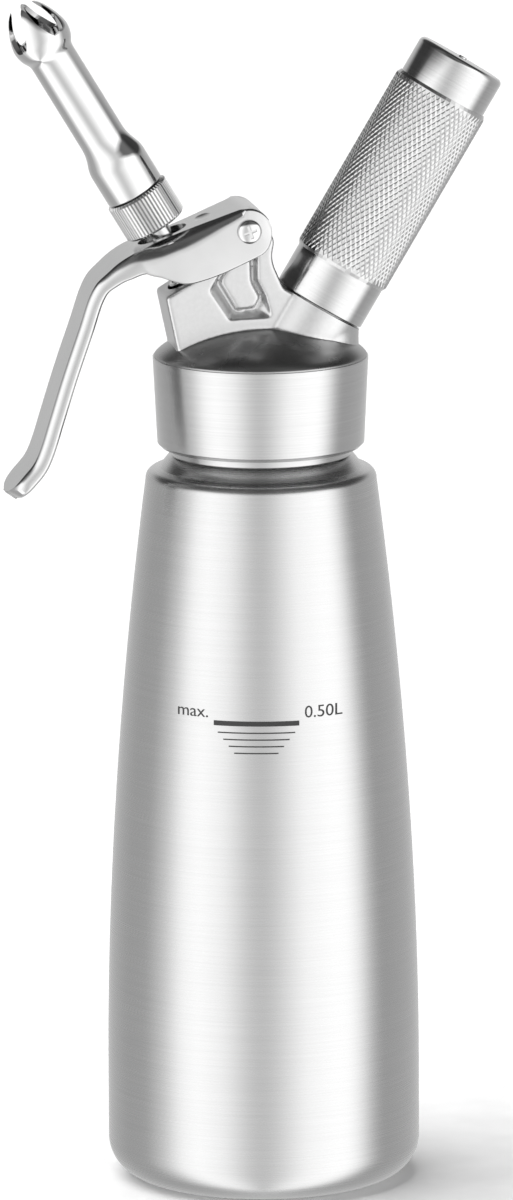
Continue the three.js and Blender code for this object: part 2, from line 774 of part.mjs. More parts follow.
// The nozzle: a threaded base, a tube, and a tulip of pointed leaves
function makeNozzle() {
  const tubeBore = nozzleTubeRadius - nozzleWall;
  const outer = [[nozzleBore, nozzleStart], [nozzleBaseRadius - nozzleEdge / 2, nozzleStart]];
  outer.push([nozzleBaseRadius, nozzleStart + nozzleEdge], [nozzleBaseRadius, nozzleBaseEnd]);
  outer.push([nozzleTubeRadius, nozzleTubeStart], [nozzleTubeRadius, tulipStart]);
  const inner = [[nozzleBore, nozzleShoulder], [tubeBore, nozzleShoulder]];
  inner.push([tubeBore, tulipStart]);
  const leaf = [];
  for (const [place, share] of tulipBellyShares) {
    const radius = nozzleTubeRadius + (tulipRadius - nozzleTubeRadius) * share;
    leaf.push([radius, tulipStart + tulipLength * place]);
  }
  for (const [place, share] of tulipTipShares) {
    const radius = tulipTipRadius + (tulipRadius - tulipTipRadius) * share;
    leaf.push([radius, tulipStart + tulipLength * place]);
  }
  outer.push(...leaf);
  inner.push(...leaf.map(([radius, height]) => [radius - nozzleWall, height]));
  let body = solid(turned([...outer, ...inner.reverse(), outer[0]], valveSides));
  const ridge = threadRidge({
    root: nozzleBore,
    depth: -nozzleThreadDepth,
    foot: nozzleThreadFoot,
    crest: nozzleThreadCrest,
    pitch: nozzleThreadPitch,
    turns: nozzleThreadTurns,
    start: adaptorTop + nozzleThreadStart,
    phase: Math.PI,
    sides: valveSides,
  });
  body = body.add(solid(ridge));
  const half = tulipSlotWidth / 2;
  const mouth = tulipMouthWidth / 2;
  const tip = tulipStart + tulipLength;
  const floor = tip - tulipSlotDepth;
  const outline = [[half / 2, floor], [half, floor + half], [mouth, tip], [mouth, tip + cutOverrun]];
  const mirrored = outline.map(([x, z]) => [-x, z]).reverse();
  const points = [...outline, ...mirrored].map(([x, z]) => new THREE.Vector2(x, z));
  for (let i = 0; i < tulipSlots; i += 1) {
    const turn = ((i + 1 / 2) / tulipSlots) * 2 * Math.PI;
    body = body.subtract(solid(slab(points, 0, tulipRadius + cutOverrun).rotateZ(turn)));
  }
  return geometryOf(body);
}

// Sections of the lever from its pivot end to the tip of its handle
function leverStations() {
  const towardHandle = new THREE.Vector2(-Math.cos(leverAngle), -Math.sin(leverAngle));
  const plateUp = new THREE.Vector2(-Math.sin(leverAngle), Math.cos(leverAngle));
  const start = pivot.clone().addScaledVector(plateUp, leverRise);
  const stations = plateShares.map(([place, sink, depth]) => ({
    point: start.clone().addScaledVector(towardHandle, place * leverPlateLength),
    half: leverHalfWidth,
    sink: sink * leverDepth,
    depth: depth * leverDepth,
  }));
  for (const [x, z, width, depth] of handleShares) {
    stations.push({
      point: new THREE.Vector2(pivot.x - x * handleReach, pivot.y - z * handleDrop),
      half: handleHalfWidth + width * (leverHalfWidth - handleHalfWidth),
      sink: 0,
      depth: depth * handleDepth,
    });
  }
  return stations;
}

// One U-shaped section of the lever, as places across Y and down from its top face
function leverSection(half, depth) {
  const flat = leverFlatShare * half;
  const shoulder = Math.min(leverShoulder, leverShoulderShare * depth);
  const innerHalf = half - leverCheek;
  const chamfer = Math.min(leverInnerChamfer, leverChamferShare * (depth - leverWeb));
  const rightSide = [[flat, 0]];
  for (let i = 1; i <= leverShoulderSteps; i += 1) {
    const turn = (i / leverShoulderSteps) * (Math.PI / 2);
    rightSide.push([flat + (half - flat) * Math.sin(turn), shoulder * (1 - Math.cos(turn))]);
  }
  rightSide.push([half, depth], [innerHalf, depth], [innerHalf, leverWeb + chamfer]);
  rightSide.push([innerHalf - chamfer, leverWeb]);
  const leftSide = rightSide.map(([y, down]) => [-y, down]).reverse();
  return [...rightSide, ...leftSide];
}

function leverBody() {
  const stations = leverStations();
  const positions = [];
  let count = 0;
  let cap = [];
  stations.forEach(({ point, half, sink, depth }, i) => {
    const before = stations[Math.max(0, i - 1)].point;
    const after = stations[Math.min(stations.length - 1, i + 1)].point;
    const direction = after.clone().sub(before).normalize();
    const down = new THREE.Vector2(-direction.y, direction.x);
    const section = leverSection(half, depth);
    for (const [y, depthHere] of section) {
      const place = point.clone().addScaledVector(down, sink + depthHere);
      positions.push(place.x, y, place.y);
    }
    count = section.length;
    cap = THREE.ShapeUtils.triangulateShape(section.map(([y, z]) => new THREE.Vector2(y, z)), []);
  });
  return skin(positions, count, cap);
}

function makeLever() {
  const padReach = leverInner + sunkDepth;
  const boreReach = leverHalfWidth + cutOverrun;
  const half = leverSlotWidth / 2;
  const straight = leverSlotLength / 2 - half;
  const slot = new THREE.Shape();
  slot.absarc(straight, 0, half, -Math.PI / 2, Math.PI / 2, false);
  slot.absarc(-straight, 0, half, Math.PI / 2, (3 * Math.PI) / 2, false);
  const slotCut = new THREE.ExtrudeGeometry(slot, {
    depth: leverDepth,
    bevelEnabled: false,
    steps: 1,
    curveSegments: leverSlotSteps,
  }).translate(0, 0, thrustCollarTop);
  const body = solid(leverBody())
    .add(solid(crossRod(leverPadRadius, -padReach, padReach, beside(0, leverPadPlace), smallSides)))
    .subtract(solid(crossRod(pivotBore, -boreReach, boreReach, pivot, valveSides)))
    .subtract(solid(onValveAxis(slotCut)));
  return geometryOf(body);
}

function makePivotNut() {
  const low = -leverHalfWidth + seatGap;
  const high = leverHalfWidth + seatGap;
  const barrel = solid(crossRod(pivotBarrelRadius, low, high + sunkDepth, pivot, valveSides));
  const head = solid(crossRod(pivotHeadRadius, high, high + pivotNutHeight, pivot, valveSides));
  const boreRadius = pivotScrewRadius + pivotThreadGap;
  const bore = crossRod(boreRadius, low - cutOverrun, high - pivotNutFloor, pivot, smallSides);
  return geometryOf(barrel.add(head).subtract(solid(bore)));
}

function makePivotScrew() {
  const seat = leverHalfWidth + seatGap;
  const tip = pivotNutFloor + pivotScrewShort - seat;
  const points = [[0, tip], [pivotScrewRadius, tip], [pivotScrewRadius, seat]];
  for (const [wide, high] of pivotHeadShares) {
    points.push([pivotHeadRadius * wide, seat + pivotHeadHeight * high]);
  }
  points.push([0, seat + pivotHeadHeight]);
  let body = solid(turned(points, valveSides));
  const floor = seat + pivotHeadHeight - pivotRecessDepth;
  for (const turn of [0, Math.PI / 2]) {
    const arm = new THREE.BoxGeometry(pivotRecessLength, pivotRecessWidth, 2 * pivotRecessDepth);
    body = body.subtract(solid(arm.translate(0, 0, floor + pivotRecessDepth).rotateZ(turn)));
  }
  return geometryOf(body).rotateX(Math.PI / 2).translate(pivot.x, 0, pivot.y);
}

function makePiercingPin() {
  const low = socketFloor + seatGap;
  const tip = chargerStart + pinReach;
  const points = [[pinBore, low], [pinFlangeRadius, low], [pinFlangeRadius, low + pinFlange]];
  points.push([pinRadius, low + pinFlange], [pinRadius, tip - pinPoint]);
  points.push([pinBore + pinTipWall, tip], [pinBore, tip], [pinBore, low]);
  return turned(points, smallSides);
}

function makePinHolder() {
  const outer = socketRadius - seatGap;
  const body = solid(ring(pinHolderBore, outer, pinHolderStart, pinHolderEnd, valveSides));
  const slot = new THREE.BoxGeometry(2 * socketRadius, pinHolderSlot, 2 * pinHolderSlot);
  return geometryOf(body.subtract(solid(slot.translate(0, 0, pinHolderEnd))));
}

function makeChargerSeal() {
  const outer = socketRadius - seatGap;
  return ring(chargerSealBore, outer, chargerSealStart, chargerSealStart + chargerSealThickness, valveSides);
}

// The gas charger, pierced at its neck
function makeCharger() {
  const neckEnd = chargerStart + chargerNeckLength;
  const bodyStart = neckEnd + chargerShoulder;
  const tailStart = chargerEnd - chargerRadius;
  const innerNeck = chargerNeckRadius - chargerNeckWall;
  const outer = [[chargerHole, chargerStart], [chargerNeckRadius, chargerStart]];
  outer.push([chargerNeckRadius, neckEnd], [chargerRadius, bodyStart]);
  const inner = [[chargerHole, chargerStart + chargerWall], [innerNeck, chargerStart + chargerWall]];
  inner.push([innerNeck, neckEnd], [chargerRadius - chargerWall, bodyStart + chargerWall / 2]);
  for (let i = 0; i <= chargerTailSteps; i += 1) {
    const turn = (i / chargerTailSteps) * (Math.PI / 2);
    const thin = chargerRadius - chargerWall;
    outer.push([chargerRadius * Math.cos(turn), tailStart + chargerRadius * Math.sin(turn)]);
    inner.push([thin * Math.cos(turn), tailStart + thin * Math.sin(turn)]);
  }
  outer[outer.length - 1][0] = 0;
  inner[inner.length - 1][0] = 0;
  return turned([...inner.reverse(), ...outer].reverse(), valveSides);
}

// The knurled sleeve that holds the charger and screws on to the port's stud
function makeChargerHolder() {
  const roundStart = chargerEnd - chargerRadius;
  const points = [[holderThreadBore, holderStart], [holderBandRadius - holderEdge, holderStart]];
  points.push([holderBandRadius, holderStart + holderEdge], [holderBandRadius, holderGripStart]);
  points.push([holderGripRadius, holderGripStart], [holderGripRadius, holderGripEnd]);
  points.push([holderCapRadius, holderGripEnd], [holderCapRadius, holderEnd - holderEdge]);
  points.push([holderCapRadius - holderEdge, holderEnd], [holderPipRadius, holderEnd]);
  points.push([holderPipRadius, holderEnd + holderPipHeight], [0, holderEnd + holderPipHeight]);
  const inner = [[holderThreadBore, studTop + runningGap], [holderBore, studTop + runningGap + sunkDepth]];
  for (const [wide, high] of holderEndShares) {
    inner.push([holderBore * wide, roundStart + (holderInnerEnd - roundStart) * high]);
  }
  inner.push([0, holderInnerEnd]);
  const wall = solid(turned([...inner.reverse(), ...points], holderSides));
  const ridge = threadRidge({
    root: holderThreadBore,
    depth: -studThreadDepth,
    foot: studThreadFoot,
    crest: studThreadCrest,
    pitch: studThreadPitch,
    turns: studThreadTurns,
    start: portTop + studThreadStart,
    phase: Math.PI,
    sides: holderSides,
  });
  return geometryOf(wall.add(solid(ridge)));
}

// The rubber one-way valve that lets the gas down into the bottle
function makeCheckValve() {
  const tip = checkNutTop + seatGap;
  const flangeLow = tip + checkValveBody;
  const top = flangeLow + checkValveFlange;
  const outer = checkPocketRadius - seatGap;
  const points = [[0, tip], [checkValveRadius * checkTipShare, tip], [checkValveRadius, flangeLow]];
  points.push([outer, flangeLow], [outer, top], [gasDropRadius, top], [gasDropRadius, flangeLow]);
  return turned([...points, [0, flangeLow]], smallSides);
}

// The ring nut that holds the one-way valve
function makeCheckNut() {
  const outer = checkPocketRadius - seatGap;
  return ring(checkNutBore, outer, checkNutTop - checkNutThickness, checkNutTop, valveSides);
}

// Finishes
const brushedSteel = { color: 0xc9c9ca, roughness: 0.34, metalness: 1 };
const satinCasting = { color: 0xd6d6d6, roughness: 0.42, metalness: 1 };
const polishedChrome = { color: 0xe6e6e8, roughness: 0.12, metalness: 1 };
const springSteel = { color: 0xb4b6ba, roughness: 0.3, metalness: 1 };
const zincSteel = { color: 0xbfc2c6, roughness: 0.4, metalness: 1 };
const blackRubber = { color: 0x1c1c1e, roughness: 0.8, metalness: 0 };
const brass = { color: 0xc2a25a, roughness: 0.35, metalness: 1 };

function piece(name, geometry, finish) {
  const mesh = new THREE.Mesh(closed(geometry), new THREE.MeshStandardMaterial(finish));
  mesh.name = name;
  return mesh;
}

const dispenser = new THREE.Group();
dispenser.add(piece("bottle", makeBottle(), brushedSteel));
dispenser.add(piece("head_gasket", makeHeadGasket(), blackRubber));
dispenser.add(piece("head_body", makeHeadBody(), satinCasting));
dispenser.add(piece("lever", makeLever(), polishedChrome));
dispenser.add(piece("pivot_screw", makePivotScrew(), polishedChrome));
dispenser.add(piece("pivot_nut", makePivotNut(), polishedChrome));

const checkValveSide = new THREE.Group();
checkValveSide.position.x = gasDropPlace;
checkValveSide.add(piece("check_valve", makeCheckValve(), blackRubber));
checkValveSide.add(piece("check_valve_nut", makeCheckNut(), brass));
dispenser.add(checkValveSide);

const valveSide = new THREE.Group();
valveSide.position.z = valveOrigin;
valveSide.rotation.y = -tilt;
valveSide.add(piece("valve_stem", makeValveStem(), zincSteel));
valveSide.add(piece("valve_seal", makeValveSeal(), blackRubber));
valveSide.add(piece("stem_o_ring", makeStemORing(), blackRubber));
valveSide.add(piece("valve_spring", makeValveSpring(), springSteel));
valveSide.add(piece("thrust_collar", makeThrustCollar(), zincSteel));
valveSide.add(piece("nozzle_adaptor", makeNozzleAdaptor(), satinCasting));
valveSide.add(piece("nozzle_gasket", makeNozzleGasket(), blackRubber));
valveSide.add(piece("nozzle", makeNozzle(), polishedChrome));
dispenser.add(valveSide);

const chargerSide = new THREE.Group();
chargerSide.position.z = chargerOrigin;
chargerSide.rotation.y = tilt;
chargerSide.add(piece("piercing_pin", makePiercingPin(), zincSteel));
chargerSide.add(piece("pin_holder", makePinHolder(), brass));
chargerSide.add(piece("charger_seal", makeChargerSeal(), blackRubber));
chargerSide.add(piece("charger", makeCharger(), zincSteel));
chargerSide.add(piece("charger_holder", makeChargerHolder(), brushedSteel));
dispenser.add(chargerSide);

export default dispenser;
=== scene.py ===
import json
from math import atan2, ceil, cos, pi, radians, sin, sqrt, tan

import bmesh
import bpy
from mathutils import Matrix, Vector


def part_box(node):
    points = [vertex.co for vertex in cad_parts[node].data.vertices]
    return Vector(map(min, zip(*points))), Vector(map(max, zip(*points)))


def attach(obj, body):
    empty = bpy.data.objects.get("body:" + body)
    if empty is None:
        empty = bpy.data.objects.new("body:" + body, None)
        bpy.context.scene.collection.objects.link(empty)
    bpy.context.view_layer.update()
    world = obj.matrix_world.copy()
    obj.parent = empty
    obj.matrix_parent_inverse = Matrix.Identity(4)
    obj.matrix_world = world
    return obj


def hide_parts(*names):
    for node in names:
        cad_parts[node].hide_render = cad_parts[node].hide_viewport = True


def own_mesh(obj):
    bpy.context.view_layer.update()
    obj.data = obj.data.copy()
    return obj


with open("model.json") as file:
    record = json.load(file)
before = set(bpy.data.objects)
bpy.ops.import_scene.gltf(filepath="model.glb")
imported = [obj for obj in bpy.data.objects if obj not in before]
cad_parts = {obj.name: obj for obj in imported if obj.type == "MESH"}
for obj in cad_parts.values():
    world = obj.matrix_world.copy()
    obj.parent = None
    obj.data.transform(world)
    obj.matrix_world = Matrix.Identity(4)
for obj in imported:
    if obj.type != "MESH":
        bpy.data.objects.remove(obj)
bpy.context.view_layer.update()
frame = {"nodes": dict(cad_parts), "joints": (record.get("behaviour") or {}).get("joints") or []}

bl_info = {
    "name": "Cream Dispenser",
    "version": (1, 0, 0),
    "blender": (4, 5, 0),
    "location": "3D View > Sidebar > Cream Dispenser",
    "description": "Dresses a whipped cream dispenser: bottle, cast head, lever, nozzle and charger holder",
    "category": "Add Mesh",
}

JOINTS = {joint["name"]: joint for joint in frame["joints"]}


# Places read from the frame. An axis is (height where it meets the bottle's axis, direction).

def tilted_axis(joint):
    direction = Vector(JOINTS[joint]["axis"])
    place = Vector(JOINTS[joint]["pos_m"])
    return place.z - direction.z * place.x / direction.x, direction


UPRIGHT = (0.0, Vector((0.0, 0.0, 1.0)))
VALVE_AXIS = tilted_axis("nozzle_unscrew")
CHARGER_AXIS = tilted_axis("holder_unscrew")
PIVOT = Vector(JOINTS["lever_press"]["pos_m"])


def spokes(node, axis):
    """Corners of a CAD node, seen from where an axis meets the bottle's axis."""
    origin = Vector((0, 0, axis[0]))
    return [vertex.co - origin for vertex in frame["nodes"][node].data.vertices]


def reach(node, axis):
    """Lowest and highest place of a CAD node along an axis."""
    places = [axis[1].dot(spoke) for spoke in spokes(node, axis)]
    return min(places), max(places)


def radii(node, axis):
    """Least and greatest distance of a CAD node's corners from an axis."""
    spread = [spoke.cross(axis[1]).length for spoke in spokes(node, axis)]
    return min(spread), max(spread)


# Fits and bores that several pieces share

MEETING_GAP = 0.0003
THREAD_GAP = 0.0004
SOCKET_RADIUS = 0.00475
PIVOT_BORE = 0.0026
CASTING_SIDES = 96

# Threads: turns, foot of the ridge, and where its middle starts. The rest is among the sizes.
NECK_TURNS = 1.5
STUD_TURNS = 2.5
STUD_THREAD_FOOT = 0.0011
STUD_THREAD_START = 0.0309
SPIGOT_TURNS = 2
SPIGOT_PITCH = 0.002
SPIGOT_THREAD = 0.00065
SPIGOT_THREAD_FOOT = 0.0009
SPIGOT_THREAD_START = 0.0012
SPIGOT_THREAD_SIDES = 64

# Corners closer than the first are merged, and places closer than the second count as the same.
MERGE_DISTANCE = 2e-6
NEARLY = 1e-5


# Modelling helpers, used as by hand: a primitive, edit-mode operators, then applied modifiers.

def object_mode():
    if bpy.context.object and bpy.context.mode != "OBJECT":
        bpy.ops.object.mode_set(mode="OBJECT")


def choose(piece, *others):
    object_mode()
    bpy.ops.object.select_all(action="DESELECT")
    for item in (piece, *others):
        item.select_set(True)
    bpy.context.view_layer.objects.active = piece


def start(primitive, name, **settings):
    """Adds a primitive with nothing else selected, and names it."""
    object_mode()
    bpy.ops.object.select_all(action="DESELECT")
    primitive(**settings)
    piece = bpy.context.object
    piece.name = name
    piece.data.name = name
    return piece


def settle(piece):
    """Puts the piece's place, turn and scale into its mesh."""
    choose(piece)
    bpy.ops.object.transform_apply(location=True, rotation=True, scale=True)


def modify(piece, kind, **settings):
    """Adds a modifier and applies it."""
    choose(piece)
    bpy.ops.object.modifier_add(type=kind)
    modifier = piece.modifiers[-1]
    for key, value in settings.items():
        setattr(modifier, key, value)
    bpy.ops.object.modifier_apply(modifier=modifier.name)


def clean(piece):
    """Merges doubled corners and turns the faces outwards."""
    choose(piece)
    bpy.ops.object.mode_set(mode="EDIT")
    bpy.ops.mesh.select_all(action="SELECT")
    bpy.ops.mesh.remove_doubles(threshold=MERGE_DISTANCE)
    bpy.ops.mesh.normals_make_consistent(inside=False)
    bpy.ops.object.mode_set(mode="OBJECT")


def select_where(piece, kind, test):
    """In edit mode, selects the corners, edges or faces that pass a test, and only those."""
    bpy.ops.mesh.select_mode(type=kind)
    bpy.ops.mesh.select_all(action="DESELECT")
    mesh = bmesh.from_edit_mesh(piece.data)
    for item in {"VERT": mesh.verts, "EDGE": mesh.edges, "FACE": mesh.faces}[kind]:
        if test(item):
            item.select_set(True)
    mesh.select_flush_mode()
    bmesh.update_edit_mesh(piece.data)


def draw(name, points, filled=False):
    """Draws a line through points of X and Z, one extruded corner after another."""
    first = (points[0][0], 0, points[0][1])
    piece = start(bpy.ops.mesh.primitive_plane_add, name, size=0.001, location=first)
    bpy.ops.object.mode_set(mode="EDIT")
    bpy.ops.mesh.select_mode(type="VERT")
    bpy.ops.mesh.select_all(action="SELECT")
    bpy.ops.mesh.merge(type="CENTER")
    for (xa, za), (xb, zb) in zip(points, points[1:]):
        bpy.ops.mesh.extrude_region_move(TRANSFORM_OT_translate={"value": (xb - xa, 0, zb - za)})
    if filled:
        bpy.ops.mesh.select_all(action="SELECT")
        bpy.ops.mesh.edge_face_add()
    settle(piece)
    return piece


def turn(name, outline, sides, ring=False):
    """Spins an outline of radius and height round Z; a ring's outline closes on itself."""
    piece = draw(name, [*outline, outline[0]] if ring else outline)
    modify(
        piece, "SCREW", steps=sides, render_steps=sides,
        use_merge_vertices=True, merge_threshold=MERGE_DISTANCE,
    )
    clean(piece)
    return piece


def wind(name, section, turns, pitch, sides, phase=0.0):
    """Winds a closed section up round Z as one thread or coil, with both ends filled."""
    piece = draw(name, [*section, section[0]])
    steps = ceil(turns * sides)
    rise = pitch * turns
    modify(piece, "SCREW", angle=2 * pi * turns, screw_offset=rise, steps=steps, render_steps=steps)
    choose(piece)
    bpy.ops.object.mode_set(mode="EDIT")
    bpy.ops.mesh.select_all(action="SELECT")
    bpy.ops.mesh.remove_doubles(threshold=MERGE_DISTANCE)
    bpy.ops.mesh.fill_holes(sides=0)
    bpy.ops.mesh.normals_make_consistent(inside=False)
    piece.rotation_euler.z = phase
    settle(piece)
    return piece


def slab(name, points, low, high, edge=0.0):
    """A flat solid between two values of Y, from an outline of X and Z, with rounded edges."""
    piece = draw(name, points, filled=True)
    piece.location.y = low
    settle(piece)
    bpy.ops.object.mode_set(mode="EDIT")
    bpy.ops.mesh.select_all(action="SELECT")
    bpy.ops.mesh.extrude_region_move(TRANSFORM_OT_translate={"value": (0, high - low, 0)})
    bpy.ops.mesh.select_all(action="SELECT")
    bpy.ops.mesh.normals_make_consistent(inside=False)
    if edge:
        modify(piece, "BEVEL", width=edge, segments=3, limit_method="ANGLE", angle_limit=radians(40))
    object_mode()
    return piece


def rod(name, radius, low, high, sides):
    """A plain rod along Z, used as a cutter or as a part of a larger piece."""
    middle = (0, 0, (low + high) / 2)
    return start(
        bpy.ops.mesh.primitive_cylinder_add, name, vertices=sides, radius=radius, depth=high - low,
        location=middle,
    )


def cross_rod(name, radius, low, high, place, sides):
    """A plain rod along Y through a place."""
    middle = (place.x, (low + high) / 2, place.z)
    piece = start(
        bpy.ops.mesh.primitive_cylinder_add, name, vertices=sides, radius=radius, depth=high - low,
        location=middle, rotation=(pi / 2, 0, 0),
    )
    settle(piece)
    return piece


def combine(piece, other, operation):
    """Joins, or cuts away, another solid, which is used up."""
    modify(piece, "BOOLEAN", operation=operation, solver="EXACT", object=other)
    bpy.data.objects.remove(other)


def stand(piece, axis):
    """Moves a piece modelled on Z on to a tilted axis."""
    height, direction = axis
    settle(piece)
    piece.rotation_euler = (0, atan2(direction.x, direction.z), 0)
    piece.location = (0, 0, height)
    settle(piece)
    return piece


def soften(piece, angle=30):
    choose(piece)
    bpy.ops.object.shade_smooth_by_angle(angle=radians(angle))


def coat(piece, *names):
    """Gives a piece its materials, in the order of its slots."""
    piece.data.materials.clear()
    for name in names:
        piece.data.materials.append(bpy.data.materials[name])


def finish(piece, body, slot, *nodes):
    """Gives a coated piece its body and hides the CAD nodes that it stands for. The slot is not used."""
    settle(piece)
    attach(piece, body)
    if nodes:
        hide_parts(*nodes)


def mount(piece, axis, body, material, slot, node, angle=30):
    """Stands a turned piece on its axis, smooths it, coats it and finishes it."""
    stand(piece, axis)
    soften(piece, angle)
    coat(piece, material)
    finish(piece, body, slot, node)


def arc(centre, radius, first, last, steps):
    """Points of a round stretch between two angles, in degrees from +X towards +Z."""
    angles = [radians(first + (last - first) * i / steps) for i in range(steps + 1)]
    return [(centre[0] + radius * cos(angle), centre[1] + radius * sin(angle)) for angle in angles]


def wire_section(centre, radius):
    """A round section of twelve corners, left open for the helpers that close it."""
    return arc(centre, radius, 0, 330, 11)


def quarter(steps):
    """Angles from 0 to a quarter of a turn."""
    return [pi / 2 * i / steps for i in range(steps + 1)]


def smoothed(rows, steps):
    """Rows of numbers with smooth rows between them, spaced by their first two columns."""
    places = [0.0]
    for before, after in zip(rows, rows[1:]):
        places.append(places[-1] + sqrt((after[0] - before[0]) ** 2 + (after[1] - before[1]) ** 2))
    slopes = []
    for i in range(len(rows)):
        low = max(0, i - 1)
        high = min(len(rows) - 1, i + 1)
        slopes.append([(b - a) / (places[high] - places[low]) for a, b in zip(rows[low], rows[high])])
    result = [list(rows[0])]
    for i in range(len(rows) - 1):
        gap = places[i + 1] - places[i]
        for k in range(1, steps + 1):
            t = k / steps
            result.append([
                a * (1 + 2 * t) * (1 - t) ** 2 + gap * p * t * (1 - t) ** 2
                + b * t * t * (3 - 2 * t) - gap * q * t * t * (1 - t)
                for a, b, p, q in zip(rows[i], rows[i + 1], slopes[i], slopes[i + 1])
            ])
    return result


# Materials. Patterns read Object coordinates, and a value that is the same all over sits on its socket.

def metal(name, color, roughness, grain, spread=0.06, bump=0.05, lean=0.0, brushed=0.0):
    """A metal whose roughness and height follow a fine noise, stretched and leaned the way it was worked."""
    round_the_axis = 0.25
    detail = 3.0
    darker = 0.93
    dark_place = 0.3
    light_place = 0.7
    bump_height = 0.0002
    material = bpy.data.materials.new(name)
    material.use_nodes = True
    tree = material.node_tree
    shader = tree.nodes["Principled BSDF"]
    shader.inputs["Metallic"].default_value = 1.0
    shader.inputs["Anisotropic"].default_value = brushed
    shader.inputs["Anisotropic Rotation"].default_value = round_the_axis
    place = tree.nodes.new("ShaderNodeTexCoord")
    lay = tree.nodes.new("ShaderNodeMapping")
    lay.vector_type = "TEXTURE"
    lay.inputs["Rotation"].default_value = (0.0, lean, 0.0)
    lay.inputs["Scale"].default_value = [1.0 / count for count in grain]
    noise = tree.nodes.new("ShaderNodeTexNoise")
    noise.inputs["Scale"].default_value = 1.0
    noise.inputs["Detail"].default_value = detail
    rough = tree.nodes.new("ShaderNodeMapRange")
    rough.inputs["To Min"].default_value = roughness - spread
    rough.inputs["To Max"].default_value = roughness + spread
    shade = tree.nodes.new("ShaderNodeValToRGB")
    dark, light = shade.color_ramp.elements
    dark.position = dark_place
    dark.color = (*[channel * darker for channel in color[:3]], 1.0)
    light.position = light_place
    light.color = (*color[:3], 1.0)
    relief = tree.nodes.new("ShaderNodeBump")
    relief.inputs["Strength"].default_value = bump
    relief.inputs["Distance"].default_value = bump_height
    tree.links.new(place.outputs["Object"], lay.inputs["Vector"])
    tree.links.new(lay.outputs["Vector"], noise.inputs["Vector"])
    for follower, socket in ((rough, "Value"), (shade, "Fac"), (relief, "Height")):
        tree.links.new(noise.outputs["Fac"], follower.inputs[socket])
    tree.links.new(rough.outputs["Result"], shader.inputs["Roughness"])
    tree.links.new(shade.outputs["Color"], shader.inputs["Base Color"])
    tree.links.new(relief.outputs["Normal"], shader.inputs["Normal"])
    return material


def matte(name, color, roughness, scale=2500.0, bump=0.1):
    """A material without metal shine, such as rubber or printing ink, with a fine mottled surface."""
    material = metal(name, color, roughness, grain=(scale, scale, scale), bump=bump)
    material.node_tree.nodes["Principled BSDF"].inputs["Metallic"].default_value = 0.0
    return material


def length_value(name, description, default):
    return bpy.props.FloatProperty(
        name=name, description=description, default=default, unit="LENGTH", precision=5
    )


def angle_value(name, description, default):
    return bpy.props.FloatProperty(
        name=name, description=description, default=radians(default), unit="ROTATION"
    )


def count_value(name, description, default):
    return bpy.props.IntProperty(name=name, description=description, default=default, min=3)


def share_value(name, description, default):
    return bpy.props.FloatProperty(name=name, description=description, default=default, min=0.0, max=4.0)


def color_value(name, description, grey, tint=(1.0, 1.0, 1.0)):
    shade = [grey * channel for channel in tint]
    return bpy.props.FloatVectorProperty(
        name=name, description=description, default=(*shade, 1.0), subtype="COLOR", size=4, min=0.0, max=1.0
    )


class BottleSizes(bpy.types.PropertyGroup):
    sides: count_value("Sides", "Faces round the bottle", 180)
    radius: length_value("Radius", "Outer radius of the bottle's foot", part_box("bottle")[1][0])
    wall: length_value("Wall", "Thickness of the drawn steel", 0.001)
    floor: length_value("Floor", "Thickness of the bottom", 0.0013)
    dish_depth: length_value("Dish depth", "How far the bottom is pressed up", 0.001)
    dish_slope: length_value("Dish slope", "Width of the slope round the dished bottom", 0.0022)
    ring_width: length_value("Ring width", "Width of the flat ring that the bottle stands on", 0.0036)
    foot_round: length_value("Foot round", "Radius between the bottom and the side", 0.0098)
    taper_start: length_value("Taper start", "Height where the side starts to lean in", 0.030)
    taper_power: share_value("Taper power", "How late the side leans in", 1.88)
    shoulder_radius: length_value("Shoulder radius", "Outer radius at the shoulder", 0.0295)
    shoulder_height: length_value("Shoulder height", "Height of the shoulder", 0.182)
    shoulder_round: length_value("Shoulder round", "Radius of the shoulder's edge", 0.0026)
    neck_base: length_value("Neck base", "Height where the neck starts", 0.1884)
    neck_radius: length_value("Neck radius", "Outer radius of the neck", 0.0227)
    rim_width: length_value("Rim width", "Width of the rolled rim", 0.0026)
    thread_pitch: length_value("Thread pitch", "Rise of the neck's thread in one turn", 0.004)
    thread_depth: length_value("Thread depth", "How far the neck's thread stands out", 0.001)
    thread_start: length_value("Thread start", "Height of the thread above the neck's base", 0.0052)
    thread_foot: length_value("Thread foot", "Height of the thread at its foot", 0.0018)


class MarkSizes(bpy.types.PropertyGroup):
    height: length_value("Height", "Height of the fill bar's middle", 0.1250)
    turn: angle_value("Turn", "Where the mark stands round the bottle", -12.4)
    bar_width: length_value("Bar width", "Width of the fill bar, seen flat", 0.0217)
    bar_height: length_value("Bar height", "Height of the fill bar", 0.00125)
    line_height: length_value("Line height", "Height of each thin line under the bar", 0.00032)
    line_gap: length_value("Line gap", "Distance from one thin line to the next", 0.00172)
    line_taper: length_value("Line taper", "How much shorter each thin line is", 0.0028)
    letter_size: length_value("Letter size", "Size of the letters", 0.0043)
    ink: length_value("Ink", "Thickness of the print", 0.00004)


